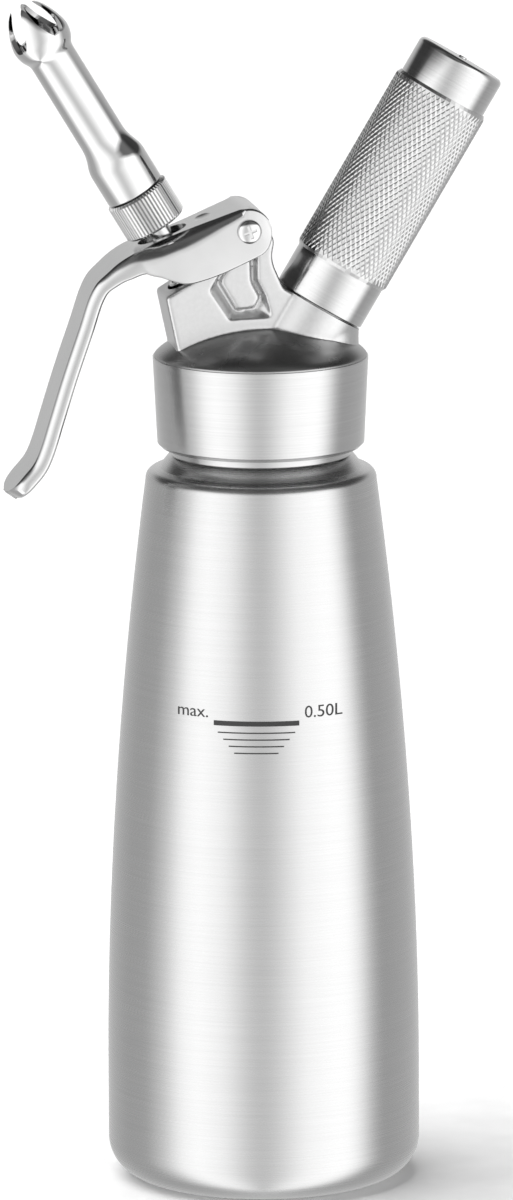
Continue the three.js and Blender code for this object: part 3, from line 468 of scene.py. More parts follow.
class HeadSizes(bpy.types.PropertyGroup):
    sides: count_value("Sides", "Faces round the collar", 180)
    collar_base: length_value("Collar base", "Height of the collar's lower edge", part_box("head_body")[0][2])
    collar_top: length_value("Collar top", "Height of the collar's upper edge", 0.2136)
    collar_radius: length_value("Collar radius", "Outer radius at the lower edge", 0.0264)
    collar_flare: length_value("Collar flare", "How much wider the collar is at its top", 0.0011)
    collar_edge: length_value("Collar edge", "Bevel of the collar's lower edge", 0.0010)
    collar_bore: length_value("Collar bore", "Radius of the bore that takes the neck", 0.0241)
    ceiling: length_value("Ceiling", "Height of the bore's end, over the gasket", 0.2068)
    dome_step: length_value("Dome step", "Width of the ledge round the dome", 0.00035)
    dome_foot: length_value("Dome foot", "Height of the dome's upright foot", 0.0003)
    dome_rise: length_value("Dome rise", "Height of the dome over its foot", 0.0084)
    casting_half: length_value("Casting half", "Half the casting's thickness", 0.008)
    casting_edge: length_value("Casting edge", "Round of the casting's edges", 0.0014)
    pocket_depth: length_value("Pocket depth", "Depth of the pocket in each side", 0.0032)
    web_stand: length_value("Web stand", "How far the web stands out of the pocket", 0.0019)
    pocket_drop: length_value("Pocket drop", "Height of the pocket, from the pivot down", 0.0228)
    voxel: length_value("Grain of the casting", "Size of the cells that the casting is fused from", 0.00042)


class ValveSizes(bpy.types.PropertyGroup):
    sides: count_value("Sides", "Faces round each turned piece", 96)
    stem: length_value("Stem", "Radius of the stem", 0.0033)
    wire: length_value("Wire", "Radius of the spring's wire", 0.0006)
    coil: length_value("Coil", "Radius of the spring's coil, to the middle of its wire", 0.0047)
    coil_turns: count_value("Coil turns", "Turns of the spring", 6)
    teeth: count_value("Teeth", "Grooves round the knurled adaptor", 54)
    groove: length_value("Groove", "Depth of each groove of the adaptor", 0.0005)
    adaptor_edge: length_value("Adaptor edge", "Bevel at both ends of the adaptor's grip", 0.0006)
    adaptor_grip: length_value("Adaptor grip", "Length of the adaptor's grip", 0.0101)
    spigot: length_value("Spigot", "Radius of the adaptor's spigot", 0.0057)
    nozzle_wall: length_value("Nozzle wall", "Thickness of the nozzle's tube", 0.001)
    nozzle_base: length_value("Nozzle base", "Length of the nozzle's wide base", 0.0097)
    nozzle_taper: length_value("Nozzle taper", "Length of the taper above the base", 0.0046)
    nozzle_tube: length_value("Nozzle tube", "Outer radius of the nozzle's tube", 0.006)
    tulip: length_value("Tulip", "Length of the pointed end", 0.0155)
    tulip_belly: length_value("Tulip belly", "Greatest radius of the pointed end", 0.0077)
    tulip_tip: length_value("Tulip tip", "Radius at the points", 0.0032)
    tulip_wall: length_value("Tulip wall", "Thickness of the pointed end at its foot", 0.0016)
    tip_wall: length_value("Tip wall", "Thickness at the points", 0.0009)
    slot_depth: length_value("Slot depth", "Depth of the slots between the points", 0.0095)
    slot_width: length_value("Slot width", "Greatest width of a slot", 0.0062)
    slot_turn: angle_value("Slot turn", "Where the first slot stands round the nozzle", 35.0)


class LeverSizes(bpy.types.PropertyGroup):
    slope: angle_value("Slope", "How far the plate leans", 21.0)
    rise: length_value("Rise", "Height of the plate's top over the pivot", 0.0058)
    half_width: length_value("Half width", "Half the width over the cheeks", 0.011)
    handle_half: length_value("Handle half", "Half the width of the handle", 0.009)
    wall: length_value("Wall", "Thickness of the plate", 0.0015)
    cheek: length_value("Cheek", "Thickness of each cheek", 0.0023)
    depth: length_value("Depth", "Greatest depth of the cheeks", 0.0134)
    shoulder: length_value("Shoulder", "Height of the rounded shoulder beside the plate", 0.0046)
    roll: length_value("Roll", "Width of the rounded shoulder", 0.0044)
    dish_depth: length_value("Dish depth", "Depth of the dish in the plate", 0.00035)
    crease: angle_value("Crease", "Where on its round the shoulder starts", 27.0)
    low_edge: length_value("Low edge", "Round of the handle's lower edges", 0.0012)
    plate: length_value("Plate", "Length of the plate, from the pivot to the handle", 0.0288)
    handle_depth: length_value("Handle depth", "Depth of the handle", 0.0038)
    handle_reach: length_value("Handle reach", "How far the handle's tip is from the pivot", 0.0617)
    handle_drop: length_value("Handle drop", "How far the handle's tip is under the pivot", 0.0665)
    slot_width: length_value("Slot width", "Width of the opening round the stem", 0.009)
    slot_length: length_value("Slot length", "Length of the opening round the stem", 0.013)
    pad: length_value("Pad", "Radius of the pads that press the thrust collar", 0.0014)
    screw_head: length_value("Screw head", "Radius of the pivot screw's head", 0.0031)
    screw_rise: length_value("Screw rise", "Height of the pivot screw's head", 0.0017)
    recess_length: length_value("Recess length", "Length of each arm of the screw's cross", 0.0034)
    recess_width: length_value("Recess width", "Width of each arm of the screw's cross", 0.00075)
    recess_turn: angle_value("Recess turn", "How far the screw's cross is turned", 20.0)


class HolderSizes(bpy.types.PropertyGroup):
    sides: count_value("Sides", "Faces round the holder", 128)
    band: length_value("Band", "Radius of the band next to the port", 0.01215)
    band_length: length_value("Band length", "Length of that band", 0.0109)
    cap: length_value("Cap", "Radius of the band at the far end", 0.01185)
    cap_length: length_value("Cap length", "Length of that band", 0.0101)
    grip: length_value("Grip", "Radius over the knurl", 0.01275)
    knurl_depth: length_value("Knurl depth", "Depth of the knurl's grooves", 0.00014)
    knurl_land: length_value("Knurl land", "Slope at each side of a diamond", 0.00026)
    knurl_around: count_value("Knurl around", "Diamonds round the holder", 56)
    knurl_rows: count_value("Knurl rows", "Rows of diamonds along the holder", 21)
    edge: length_value("Edge", "Bevel of the far end", 0.0013)
    pip: length_value("Pip", "Radius of the pip on the end face", 0.0011)
    port: length_value("Port", "Radius of the charger port", 0.012)
    port_end: length_value("Port end", "Place of the port's face on its axis", 0.0291)
    port_spare: length_value("Port spare", "Extra length of the port that is cut off again", 0.0012)
    stud: length_value("Stud", "Radius of the threaded stud", 0.0096)
    stud_pitch: length_value("Stud pitch", "Rise of the stud's thread in one turn", 0.0025)
    stud_thread: length_value("Stud thread", "How far the stud's thread stands out", 0.0007)
    charger: length_value("Charger", "Radius of the gas charger", 0.009)
    charger_neck: length_value("Charger neck", "Radius of the charger's neck", 0.0043)


class Finishes(bpy.types.PropertyGroup):
    steel: color_value("Steel", "Brushed bottle and collar", 0.62)
    dome: color_value("Dome", "Polished dome", 0.42)
    casting: color_value("Casting", "Satin head casting", 0.66)
    lever: color_value("Lever", "Polished lever", 0.64)
    chrome: color_value("Chrome", "Nozzle and screw", 0.69)
    turned: color_value("Turned", "Holder, adaptor and stem", 0.63)
    knurl: color_value("Knurl", "Knurled grip of the holder", 0.62)
    zinc: color_value("Zinc", "Gas charger", 0.60, (0.97, 0.99, 1.0))
    brass: color_value("Brass", "Plug and nut", 0.70, (1.0, 0.80, 0.42))
    rubber: color_value("Rubber", "Seals", 0.02)
    ink: color_value("Ink", "Fill mark", 0.03)


class StageSizes(bpy.types.PropertyGroup):
    floor: length_value("Floor", "Width of the floor", 24.0)
    camera_place: bpy.props.FloatVectorProperty(
        name="Camera place", description="Where the camera stands", unit="LENGTH",
        default=(-0.5157, -2.9249, 0.742),
    )
    camera_aim: bpy.props.FloatVectorProperty(
        name="Camera aim", description="What the camera looks at", unit="LENGTH",
        default=(-0.00132, 0.0, 0.150),
    )
    camera_roll: angle_value("Camera roll", "Turn of the camera about its view", -0.27)
    lens: bpy.props.FloatProperty(name="Lens", description="Focal length", default=355.2, unit="CAMERA")
    sun: share_value("Sun", "Brightness of the lamp that whitens the floor", 3.6)
    sun_spread: angle_value("Sun spread", "How soft the shadow on the floor is", 70.0)


# Outlines

def rounded(corners, steps=4):
    """Points of an outline; a corner given as (x, z, radius) becomes an arc of that radius."""
    points = []
    for i, corner in enumerate(corners):
        here = Vector(corner[:2])
        if len(corner) == 2:
            points.append(tuple(here))
            continue
        before = (Vector(corners[i - 1][:2]) - here).normalized()
        after = (Vector(corners[(i + 1) % len(corners)][:2]) - here).normalized()
        half = before.angle(after) / 2
        centre = here + (before + after).normalized() * corner[2] / sin(half)
        first = here + before * corner[2] / tan(half) - centre
        last = here + after * corner[2] / tan(half) - centre
        for k in range(steps + 1):
            spoke = first.slerp(last, k / steps).normalized()
            points.append(tuple(centre + spoke * corner[2]))
    return points


def beside(axis, across, along):
    """A point of X and Z from its places across and along a tilted axis."""
    height, direction = axis
    return direction.x * along + direction.z * across, height + direction.z * along - direction.x * across


def ring_outline(inner, outer, low, high, edge):
    """A square section with rounded corners."""
    corners = [(inner, low, edge), (outer, low, edge), (outer, high, edge), (inner, high, edge)]
    return rounded(corners, 3)


def thread_section(root, ridge, foot, height):
    """Section of a thread ridge, sunk into the wall that carries it."""
    crest = foot / 2
    back = root - ridge / 2
    return [
        (back, height - foot / 2), (back, height + foot / 2),
        (root + ridge, height + crest / 2), (root + ridge, height - crest / 2),
    ]


# Bottle

def side_radius(sizes, height):
    """Outer radius of the bottle's side at a height."""
    share = max(0.0, (height - sizes.taper_start) / (sizes.shoulder_height - sizes.taper_start))
    return sizes.radius - (sizes.radius - sizes.shoulder_radius) * share ** sizes.taper_power


def make_bottle(sizes):
    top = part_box("bottle")[1][2]
    wall = sizes.wall
    flat = sizes.radius - sizes.foot_round
    dish = flat - sizes.ring_width
    slope = sizes.shoulder_radius - sizes.shoulder_round
    lip = sizes.neck_radius - sizes.rim_width
    inside = sizes.neck_radius - wall
    steps = 30
    shoulder_sweep = 78
    taper_height = sizes.shoulder_height - sizes.taper_start
    heights = [sizes.taper_start + taper_height * i / steps for i in range(steps)]
    outer = rounded([
        (0, sizes.dish_depth), (dish - sizes.dish_slope, sizes.dish_depth, wall), (dish, 0, wall / 2),
        (flat, 0),
    ])
    outer += arc((flat, sizes.foot_round), sizes.foot_round, -90, 0, 14)[1:]
    outer += [(side_radius(sizes, height), height) for height in heights]
    outer += arc((slope, sizes.shoulder_height), sizes.shoulder_round, 0, shoulder_sweep, 8)
    outer += rounded([
        (slope - wall, sizes.shoulder_height + sizes.shoulder_round + wall / 2),
        (sizes.neck_radius + wall, sizes.neck_base - wall / 2),
        (sizes.neck_radius, sizes.neck_base, wall / 2),
        (sizes.neck_radius, top, wall / 2),
        (lip, top, wall / 2),
        (lip, top - wall),
        (inside, top - 2 * wall),
        (inside, sizes.neck_base - wall),
    ])
    inner = [(0, sizes.dish_depth + sizes.floor)]
    inner += arc((flat, sizes.foot_round), sizes.foot_round - wall - sizes.floor, -90, 0, 10)
    inner += [(side_radius(sizes, height) - wall, height) for height in heights]
    inner += [(slope - wall, sizes.shoulder_height + sizes.shoulder_round - wall)]
    bottle = turn("bottle_body", outer + inner[::-1], sizes.sides)
    section = thread_section(
        sizes.neck_radius, sizes.thread_depth, sizes.thread_foot, sizes.neck_base + sizes.thread_start
    )
    combine(bottle, wind("neck_thread", section, NECK_TURNS, sizes.thread_pitch, sizes.sides), "UNION")
    soften(bottle)
    coat(bottle, "Brushed steel")
    finish(bottle, "bottle", "brushed_steel", "bottle")


def write(text, sizes, place):
    """One word of the fill mark: on the left it ends at its place of X, on the right it starts there."""
    letters = start(bpy.ops.object.text_add, "mark_" + text.strip("."))
    letters.data.body = text
    letters.data.size = sizes.letter_size
    letters.data.align_x = "RIGHT" if place < 0 else "LEFT"
    choose(letters)
    bpy.ops.object.convert(target="MESH")
    letters.location = (place, 0, sizes.height + sizes.bar_height)
    letters.rotation_euler = (pi / 2, 0, 0)
    return letters


def strip(name, width, height, level):
    """One line of the fill mark, as a flat strip with enough corners to bend round the bottle."""
    line = start(bpy.ops.mesh.primitive_grid_add, name, x_subdivisions=40, y_subdivisions=1, size=1)
    line.scale = (width, height, 1)
    line.location = (0, 0, level)
    line.rotation_euler = (pi / 2, 0, 0)
    return line


def make_marks(sizes):
    lines = 4
    first_line_share = 0.905
    letter_gap_share = 0.75
    before_bottle = -0.1
    parts = [strip("fill_mark", sizes.bar_width, sizes.bar_height, sizes.height)]
    for i in range(1, lines + 1):
        width = sizes.bar_width * first_line_share - (i - 1) * sizes.line_taper
        level = sizes.height - sizes.bar_height / 2 - sizes.line_gap * i
        parts.append(strip("fill_line", width, sizes.line_height, level))
    side = sizes.bar_width / 2 + sizes.line_gap * letter_gap_share
    parts += [write("max.", sizes, -side), write("0.50L", sizes, side)]
    for part in parts:
        part.location.y = before_bottle
        settle(part)
    choose(*parts)
    bpy.ops.object.join()
    marks = bpy.context.object
    modify(
        marks, "SHRINKWRAP", target=bpy.data.objects["bottle_body"], wrap_method="PROJECT",
        use_project_y=True, use_positive_direction=True, offset=sizes.ink,
    )
    modify(marks, "SOLIDIFY", thickness=2 * sizes.ink, offset=0)
    marks.rotation_euler.z = sizes.turn
    clean(marks)
    coat(marks, "Black print")
    finish(marks, "bottle", "brushed_steel")


# Head

def head_cutters(valve, head):
    """Bores of the head: valve cavity and bore, spring pocket, gas socket, chamber, gas way and its end."""
    spring_foot = reach("valve_spring", VALVE_AXIS)[0]
    seal_low, seal_high = reach("valve_seal", VALVE_AXIS)
    socket_floor = reach("piercing_pin", CHARGER_AXIS)[0] - MEETING_GAP
    lower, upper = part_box("check_valve")
    cavity = radii("valve_seal", VALVE_AXIS)[1] + 0.0008
    cavity_start = -0.004
    stem_bore = 0.0043
    coil_bore = valve.coil + valve.wire + 0.0007
    chamber = 0.0018
    gas_way = 0.0015
    gas_way_end = CHARGER_AXIS[0] + 0.0214
    flap_pocket = 0.0045
    overrun = 0.002
    outside = 0.05
    cutters = [
        stand(rod("cutter", cavity, cavity_start, seal_high + MEETING_GAP, valve.sides), VALVE_AXIS),
        stand(rod("cutter", stem_bore, seal_low, spring_foot, valve.sides), VALVE_AXIS),
        stand(rod("cutter", coil_bore, spring_foot - MEETING_GAP, outside, valve.sides), VALVE_AXIS),
        stand(rod("cutter", SOCKET_RADIUS, socket_floor, outside, valve.sides), CHARGER_AXIS),
        stand(rod("cutter", chamber, socket_floor - chamber, outside, 32), CHARGER_AXIS),
        rod("cutter", gas_way, head.ceiling, gas_way_end, 32),
        rod("cutter", flap_pocket, head.ceiling - overrun, upper.z + MEETING_GAP, 48),
    ]
    for cutter in cutters[-2:]:
        cutter.location.x = lower.x / 2 + upper.x / 2
        settle(cutter)
    return cutters


def dome_outline(radius, foot, rise, steps):
    """The dome, from its foot to its crown. A power over 1 draws its shoulders in."""
    power = 1.5
    return [(radius * cos(angle), foot + rise * sin(angle) ** power) for angle in quarter(steps)]


def make_collar(sizes, valve, bottle):
    radius = sizes.collar_radius + sizes.collar_flare
    dome = radius - sizes.dome_step
    edge = sizes.collar_edge
    corners = [
        (0, sizes.ceiling), (sizes.collar_bore, sizes.ceiling),
        (sizes.collar_bore, sizes.collar_base, edge / 4),
        (sizes.collar_radius - edge, sizes.collar_base, edge / 4),
        (sizes.collar_radius, sizes.collar_base + edge, edge / 3),
        (radius, sizes.collar_top, edge / 6),
        (dome, sizes.collar_top),
    ]
    crown = dome_outline(dome, sizes.collar_top + sizes.dome_foot, sizes.dome_rise, 32)
    collar = turn("head_collar", rounded(corners) + crown, sizes.sides)
    for cutter in head_cutters(valve, sizes):
        combine(collar, cutter, "DIFFERENCE")
    section = thread_section(
        sizes.collar_bore, -bottle.thread_depth, bottle.thread_foot, bottle.neck_base + bottle.thread_start
    )
    thread = wind("collar_thread", section, NECK_TURNS, bottle.thread_pitch, sizes.sides, pi)
    combine(collar, thread, "UNION")
    coat(collar, "Collar steel", "Polished dome")
    choose(collar)
    bpy.ops.object.mode_set(mode="EDIT")
    polished_from = sizes.collar_top + 0.0001
    select_where(collar, "FACE", lambda face: face.calc_center_median().z > polished_from)
    collar.active_material_index = 1
    bpy.ops.object.material_slot_assign()
    soften(collar, 25)
    finish(collar, "head", "cast_head", "head_body")


def casting_outline(sizes, holder):
    """Tower round the valve, pivot boss and the back that runs down to the charger port."""
    top = sizes.collar_top
    foot = (-0.0252, top - 0.0005)
    fillet = (-0.0226, top + 0.0022, 0.0022)
    tower_half = 0.0082
    tower_top = 0.0362
    tower_edge = 0.0008
    boss = 0.0041
    boss_start = 201
    boss_end = 21
    under_boss = (PIVOT.x + 0.0072, PIVOT.z - 0.0028, 0.003)
    back = (PIVOT.x + 0.0062, PIVOT.z - 0.0080, 0.008)
    port_edge = 0.0012
    height, direction = CHARGER_AXIS
    middle = direction * holder.port_end
    return rounded([
        foot, fillet,
        (*beside(VALVE_AXIS, -tower_half, tower_top), tower_edge),
        (*beside(VALVE_AXIS, tower_half, tower_top), tower_edge),
        *arc((PIVOT.x, PIVOT.z), boss, boss_start, boss_end, 12),
        under_boss, back,
        (*beside(CHARGER_AXIS, -holder.port, holder.port_end), port_edge),
        (middle.x, height + middle.z), (middle.x, top - 0.001),
    ], 6)


# Outlines of the pocket, from the pivot, as shares of its height: its mouth, its floor and the web on it.
MOUTH_SHARES = [
    (-0.434, -0.684), (-0.368, -0.570), (-0.088, -0.140), (0.114, -0.285), (0.118, -0.570), (0.202, -0.746),
    (0.276, -1.0), (-0.215, -1.018),
]
FLOOR_SHARES = [
    (-0.333, -0.614), (-0.307, -0.535), (-0.070, -0.158), (0.075, -0.285), (0.092, -0.596), (0.184, -0.768),
    (0.114, -0.930), (-0.132, -0.939),
]
WEB_SHARES = [
    (-0.298, -0.596), (-0.272, -0.526), (-0.053, -0.175), (0.035, -0.294), (0.057, -0.610), (0.149, -0.776),
    (0.083, -0.899), (-0.114, -0.912),
]


def pocket_ring(shares, drop, edge, level):
    """One outline of the pocket at a value of Y."""
    corners = [(PIVOT.x + x * drop, PIVOT.z + z * drop, edge) for x, z in shares]
    return [(x, level, z) for x, z in rounded(corners, 4)]


def port_skirt(sizes, holder):
    """Upright fill under the port, cut off along the port's face."""
    sink = 0.0016
    narrowing = 0.9
    height, direction = CHARGER_AXIS
    middle = direction * holder.port_end
    top = height + middle.z + holder.port
    skirt = rod("port_skirt", 1, sizes.collar_top - sink, top, CASTING_SIDES)
    skirt.scale = (holder.port * direction.z, holder.port * narrowing, 1)
    skirt.location.x = middle.x
    settle(skirt)
    middle = direction * (holder.port_end + holder.port_spare)
    bpy.ops.object.mode_set(mode="EDIT")
    bpy.ops.mesh.select_all(action="SELECT")
    bpy.ops.mesh.bisect(
        plane_co=(middle.x, 0, height + middle.z), plane_no=direction, use_fill=True, clear_outer=True
    )
    object_mode()
    return skirt


def carve_pockets(casting, sizes):
    """Cuts a pocket with sloping walls into each side, and sets a web on its floor."""
    drop = sizes.pocket_drop
    face = sizes.casting_half
    edge = 0.0005
    overrun = 0.001
    for side in (-1, 1):
        floor = side * (face - sizes.pocket_depth)
        mouth = pocket_ring(MOUTH_SHARES, drop, edge, side * face)
        outside = pocket_ring(MOUTH_SHARES, drop, edge, side * (face + overrun))
        base = pocket_ring(FLOOR_SHARES, drop, edge, floor)
        combine(casting, loft("pocket", [base, mouth, outside]), "DIFFERENCE")
        root = pocket_ring(WEB_SHARES, drop, edge, floor - side * overrun)
        top = pocket_ring(WEB_SHARES, drop, edge, floor + side * sizes.web_stand)
        combine(casting, loft("web", [root, top]), "UNION")


def make_casting(sizes, valve, holder):
    face = sizes.casting_half
    end = holder.port_end
    spare = holder.port_spare
    under_dome = 0.0004
    hill = sizes.collar_radius + sizes.collar_flare - sizes.dome_step - under_dome
    hill_foot = sizes.collar_top - 0.002
    beyond = 0.01
    dome_cut = 0.03
    dome_cut_top = sizes.ceiling + 0.0035
    casting = slab("head_casting", casting_outline(sizes, holder), -face, face, sizes.casting_edge)
    port = rod("port", holder.port, end / 2, end + spare, CASTING_SIDES)
    combine(casting, stand(port, CHARGER_AXIS), "UNION")
    outline = [(0, hill_foot), (hill, hill_foot)]
    outline += dome_outline(hill, sizes.collar_top, sizes.dome_rise, 16)
    combine(casting, turn("hill", outline, CASTING_SIDES), "UNION")
    combine(casting, port_skirt(sizes, holder), "UNION")
    carve_pockets(casting, sizes)
    modify(casting, "REMESH", mode="VOXEL", voxel_size=sizes.voxel, use_smooth_shade=True)
    modify(casting, "SMOOTH", factor=0.5, iterations=5)
    face_cut = rod("cutter", holder.port + spare, end, end + 5 * spare, CASTING_SIDES)
    combine(casting, stand(face_cut, CHARGER_AXIS), "DIFFERENCE")
    for cutter in head_cutters(valve, sizes):
        combine(casting, cutter, "DIFFERENCE")
    combine(casting, cross_rod("cutter", PIVOT_BORE, -beyond, beyond, PIVOT, 48), "DIFFERENCE")
    combine(casting, rod("cutter", dome_cut, sizes.collar_base, dome_cut_top, 48), "DIFFERENCE")
    soften(casting, 40)
    coat(casting, "Satin casting")
    finish(casting, "head", "cast_head", "head_body")


def make_stud(holder):
    foot = 0.027
    end = 0.0395
    edge = 0.0004
    outline = ring_outline(SOCKET_RADIUS, holder.stud, foot, end, edge)
    stud = turn("port_stud", outline, holder.sides, ring=True)
    section = thread_section(holder.stud, holder.stud_thread, STUD_THREAD_FOOT, STUD_THREAD_START)
    combine(stud, wind("stud_thread", section, STUD_TURNS, holder.stud_pitch, holder.sides), "UNION")
    mount(stud, CHARGER_AXIS, "head", "Turned steel", "cast_head", "head_body")


# Lever

# The plate from the pivot to the handle: place along it, depth of the cheeks, and how round its shoulder is.
PLATE_SHARES = [
    (0.0, 0.96, 0.35), (0.10, 0.975, 0.5), (0.22, 0.99, 0.64), (0.34, 1.0, 0.82), (0.54, 0.98, 1.0),
    (0.68, 0.92, 1.0), (0.78, 0.78, 1.0), (0.89, 0.58, 1.0), (1.0, 0.44, 1.0),
]
# The handle: reach from the pivot, drop under it, how near its width is to the plate's, and its depth.
HANDLE_SHARES = [
    (0.535, 0.11, 0.75, 1.35), (0.585, 0.15, 0.45, 1.1), (0.629, 0.19, 0.2, 1.0), (0.663, 0.25, 0.0, 1.0),
    (0.699, 0.35, 0.0, 1.0), (0.772, 0.545, 0.0, 1.0), (0.83, 0.715, 0.0, 1.0), (0.866, 0.82, 0.0, 1.0),
    (0.895, 0.88, 0.0, 1.0), (0.94, 0.93, 0.0, 1.0), (0.985, 0.98, 0.0, 0.9), (1.0, 1.0, 0.0, 0.8),
]


def lever_stations(sizes):
    """Sections of the lever: X, Z, half width, sink of the top, depth and share of the shoulder."""
    along = Vector((-cos(sizes.slope), -sin(sizes.slope)))
    top = Vector((PIVOT.x, PIVOT.z)) + Vector((-sin(sizes.slope), cos(sizes.slope))) * sizes.rise
    nose = []
    for degree in range(10, 90, 10):
        angle = radians(degree)
        place = top - along * sizes.rise * cos(angle)
        sink = sizes.rise * (1 - sin(angle))
        depth = PLATE_SHARES[0][1] * sizes.depth * sin(angle)
        nose.append([*place, sizes.half_width, sink, depth, 0.0])
    rows = []
    for share, depth, shoulder in PLATE_SHARES:
        place = top + along * share * sizes.plate
        rows.append([*place, sizes.half_width, 0.0, depth * sizes.depth, shoulder])
    for x, z, width, depth in HANDLE_SHARES:
        half = sizes.handle_half + width * (sizes.half_width - sizes.handle_half)
        place = (PIVOT.x - x * sizes.handle_reach, PIVOT.z - z * sizes.handle_drop)
        rows.append([*place, half, 0.0, depth * sizes.handle_depth, 1.0])
    return nose + smoothed(rows, 5)


def lever_section(sizes, half, depth, shoulder):
    """Half of a U-shaped section, across and down, from the middle of its top to the middle of its web.
    Where it is shallow or narrow, shares of its depth and half width hold its rounds and walls back."""
    edges_in_depth = 3.5
    web_share = 0.6
    largest_fillet = 0.0012
    fillet_share = 0.4
    cheek_share = 0.4
    roll_share = 0.42
    round_share = 0.6
    shoulder_share = 0.72
    fullness = min(1.0, depth / sizes.depth)
    edge = min(sizes.low_edge * (1 - fullness / 2), depth / edges_in_depth)
    web = min(sizes.wall, depth * web_share)
    fillet = min(largest_fillet, (depth - web) * fillet_share)
    inner = half - min(sizes.cheek, half * cheek_share)
    roll = edge + (max(edge, min(sizes.roll, depth * roll_share)) - edge) * shoulder
    flat = half - min(roll, half * round_share)
    drop = edge + (min(sizes.shoulder, depth * shoulder_share) - edge) * shoulder
    begin = sizes.crease * fullness
    points = [(0.0, 0.0), (flat / 2, 0.0), (flat, 0.0)]
    steps = 9
    for i in range(1, steps + 1):
        sweep = begin + (pi / 2 - begin) * i / steps
        across = (sin(sweep) - sin(begin)) / (1 - sin(begin))
        points.append((flat + (half - flat) * across, drop * (1 - cos(sweep) / cos(begin))))
    low = [(half, depth, edge), (inner, depth, edge), (inner, web, fillet), (0.0, web)]
    return points + rounded([points[-1], *low], 7)[1:]


def loft(name, rings):
    """A closed skin over rings of points. The lever's sections change in width, depth and round on the way,
    which neither extruding nor bridging keeps smooth, so its corners are placed one by one."""
    mesh = bpy.data.meshes.new(name)
    piece = bpy.data.objects.new(name, mesh)
    bpy.context.scene.collection.objects.link(piece)
    build = bmesh.new()
    rows = [[build.verts.new(point) for point in ring] for ring in rings]
    for row, after in zip(rows, rows[1:]):
        for k in range(len(row)):
            nearby = (k + 1) % len(row)
            build.faces.new((row[k], row[nearby], after[nearby], after[k]))
    build.faces.new(rows[0][::-1])
    build.faces.new(rows[-1])
    build.to_mesh(mesh)
    build.free()
    clean(piece)
    return piece


def slotted(name, width, spread, low, high):
    """A cutter with rounded ends, drawn out along X by its spread."""
    piece = rod(name, width / 2, low, high, 64)
    settle(piece)
    bpy.ops.object.mode_set(mode="EDIT")
    for side in (-1, 1):
        select_where(piece, "VERT", lambda corner: corner.co.x * side > NEARLY)
        bpy.ops.transform.translate(value=(side * spread / 2, 0, 0))
    object_mode()
    return piece


def tip_width(half, to_tip):
    """Narrows a half width near the handle's tip, by its distance from the tip."""
    rounding = 0.0052
    bluntness = 2.4
    least_share = 0.34
    if to_tip < rounding:
        half *= max(least_share, (1 - (1 - to_tip / rounding) ** bluntness) ** 0.5)
    return half


def dish_cutter(sizes):
    """A flat ball that presses a shallow dish into the plate, beside the opening."""
    half_length = 0.0029
    half_width = 0.0049
    half_height = 0.001
    from_pivot = 0.0086
    dish = start(bpy.ops.mesh.primitive_uv_sphere_add, "cutter", segments=64, ring_count=32, radius=1)
    dish.scale = (half_length, half_width, half_height)
    dish.location = (-from_pivot, 0, sizes.rise + dish.scale.z - sizes.dish_depth)
    settle(dish)
    dish.rotation_euler = (0, -sizes.slope, 0)
    dish.location = PIVOT
    settle(dish)
    return dish


def make_lever(sizes):
    stations = lever_stations(sizes)
    tip = Vector(stations[-1][:2])
    rings = []
    for i, (x, z, half, sink, depth, shoulder) in enumerate(stations):
        before = Vector(stations[max(0, i - 1)][:2])
        after = Vector(stations[min(len(stations) - 1, i + 1)][:2])
        forward = (after - before).normalized()
        down = Vector((-forward.y, forward.x))
        half = tip_width(half, (Vector((x, z)) - tip).length)
        side = lever_section(sizes, half, depth, shoulder)
        whole = side + [(-across, deep) for across, deep in side[-2:0:-1]]
        rings.append([
            (x + down.x * (sink + deep), across, z + down.y * (sink + deep)) for across, deep in whole
        ])
    lever = loft("lever_body", rings)
    pad_height = 0.04667
    pad_overlap = 0.0004
    slot_low = 0.0453
    slot_high = 0.058
    beyond = 0.013
    pad_x, pad_z = beside(VALVE_AXIS, 0, pad_height)
    inner = sizes.half_width - sizes.cheek + pad_overlap
    combine(lever, cross_rod("pads", sizes.pad, -inner, inner, Vector((pad_x, 0, pad_z)), 32), "UNION")
    combine(lever, cross_rod("cutter", PIVOT_BORE, -beyond, beyond, PIVOT, 48), "DIFFERENCE")
    spread = sizes.slot_length - sizes.slot_width
    slot = slotted("cutter", sizes.slot_width, spread, slot_low, slot_high)
    combine(lever, stand(slot, VALVE_AXIS), "DIFFERENCE")
    combine(lever, dish_cutter(sizes), "DIFFERENCE")
    soften(lever, 16)
    coat(lever, "Lever steel")
    finish(lever, "lever", "lever_steel", "lever")


def aside(piece, side):
    """Turns a piece modelled on Z to lie on the pivot's axis, with its top towards one side."""
    settle(piece)
    piece.rotation_euler = (-side * pi / 2, 0, 0)
    piece.location = PIVOT
    settle(piece)
    return piece


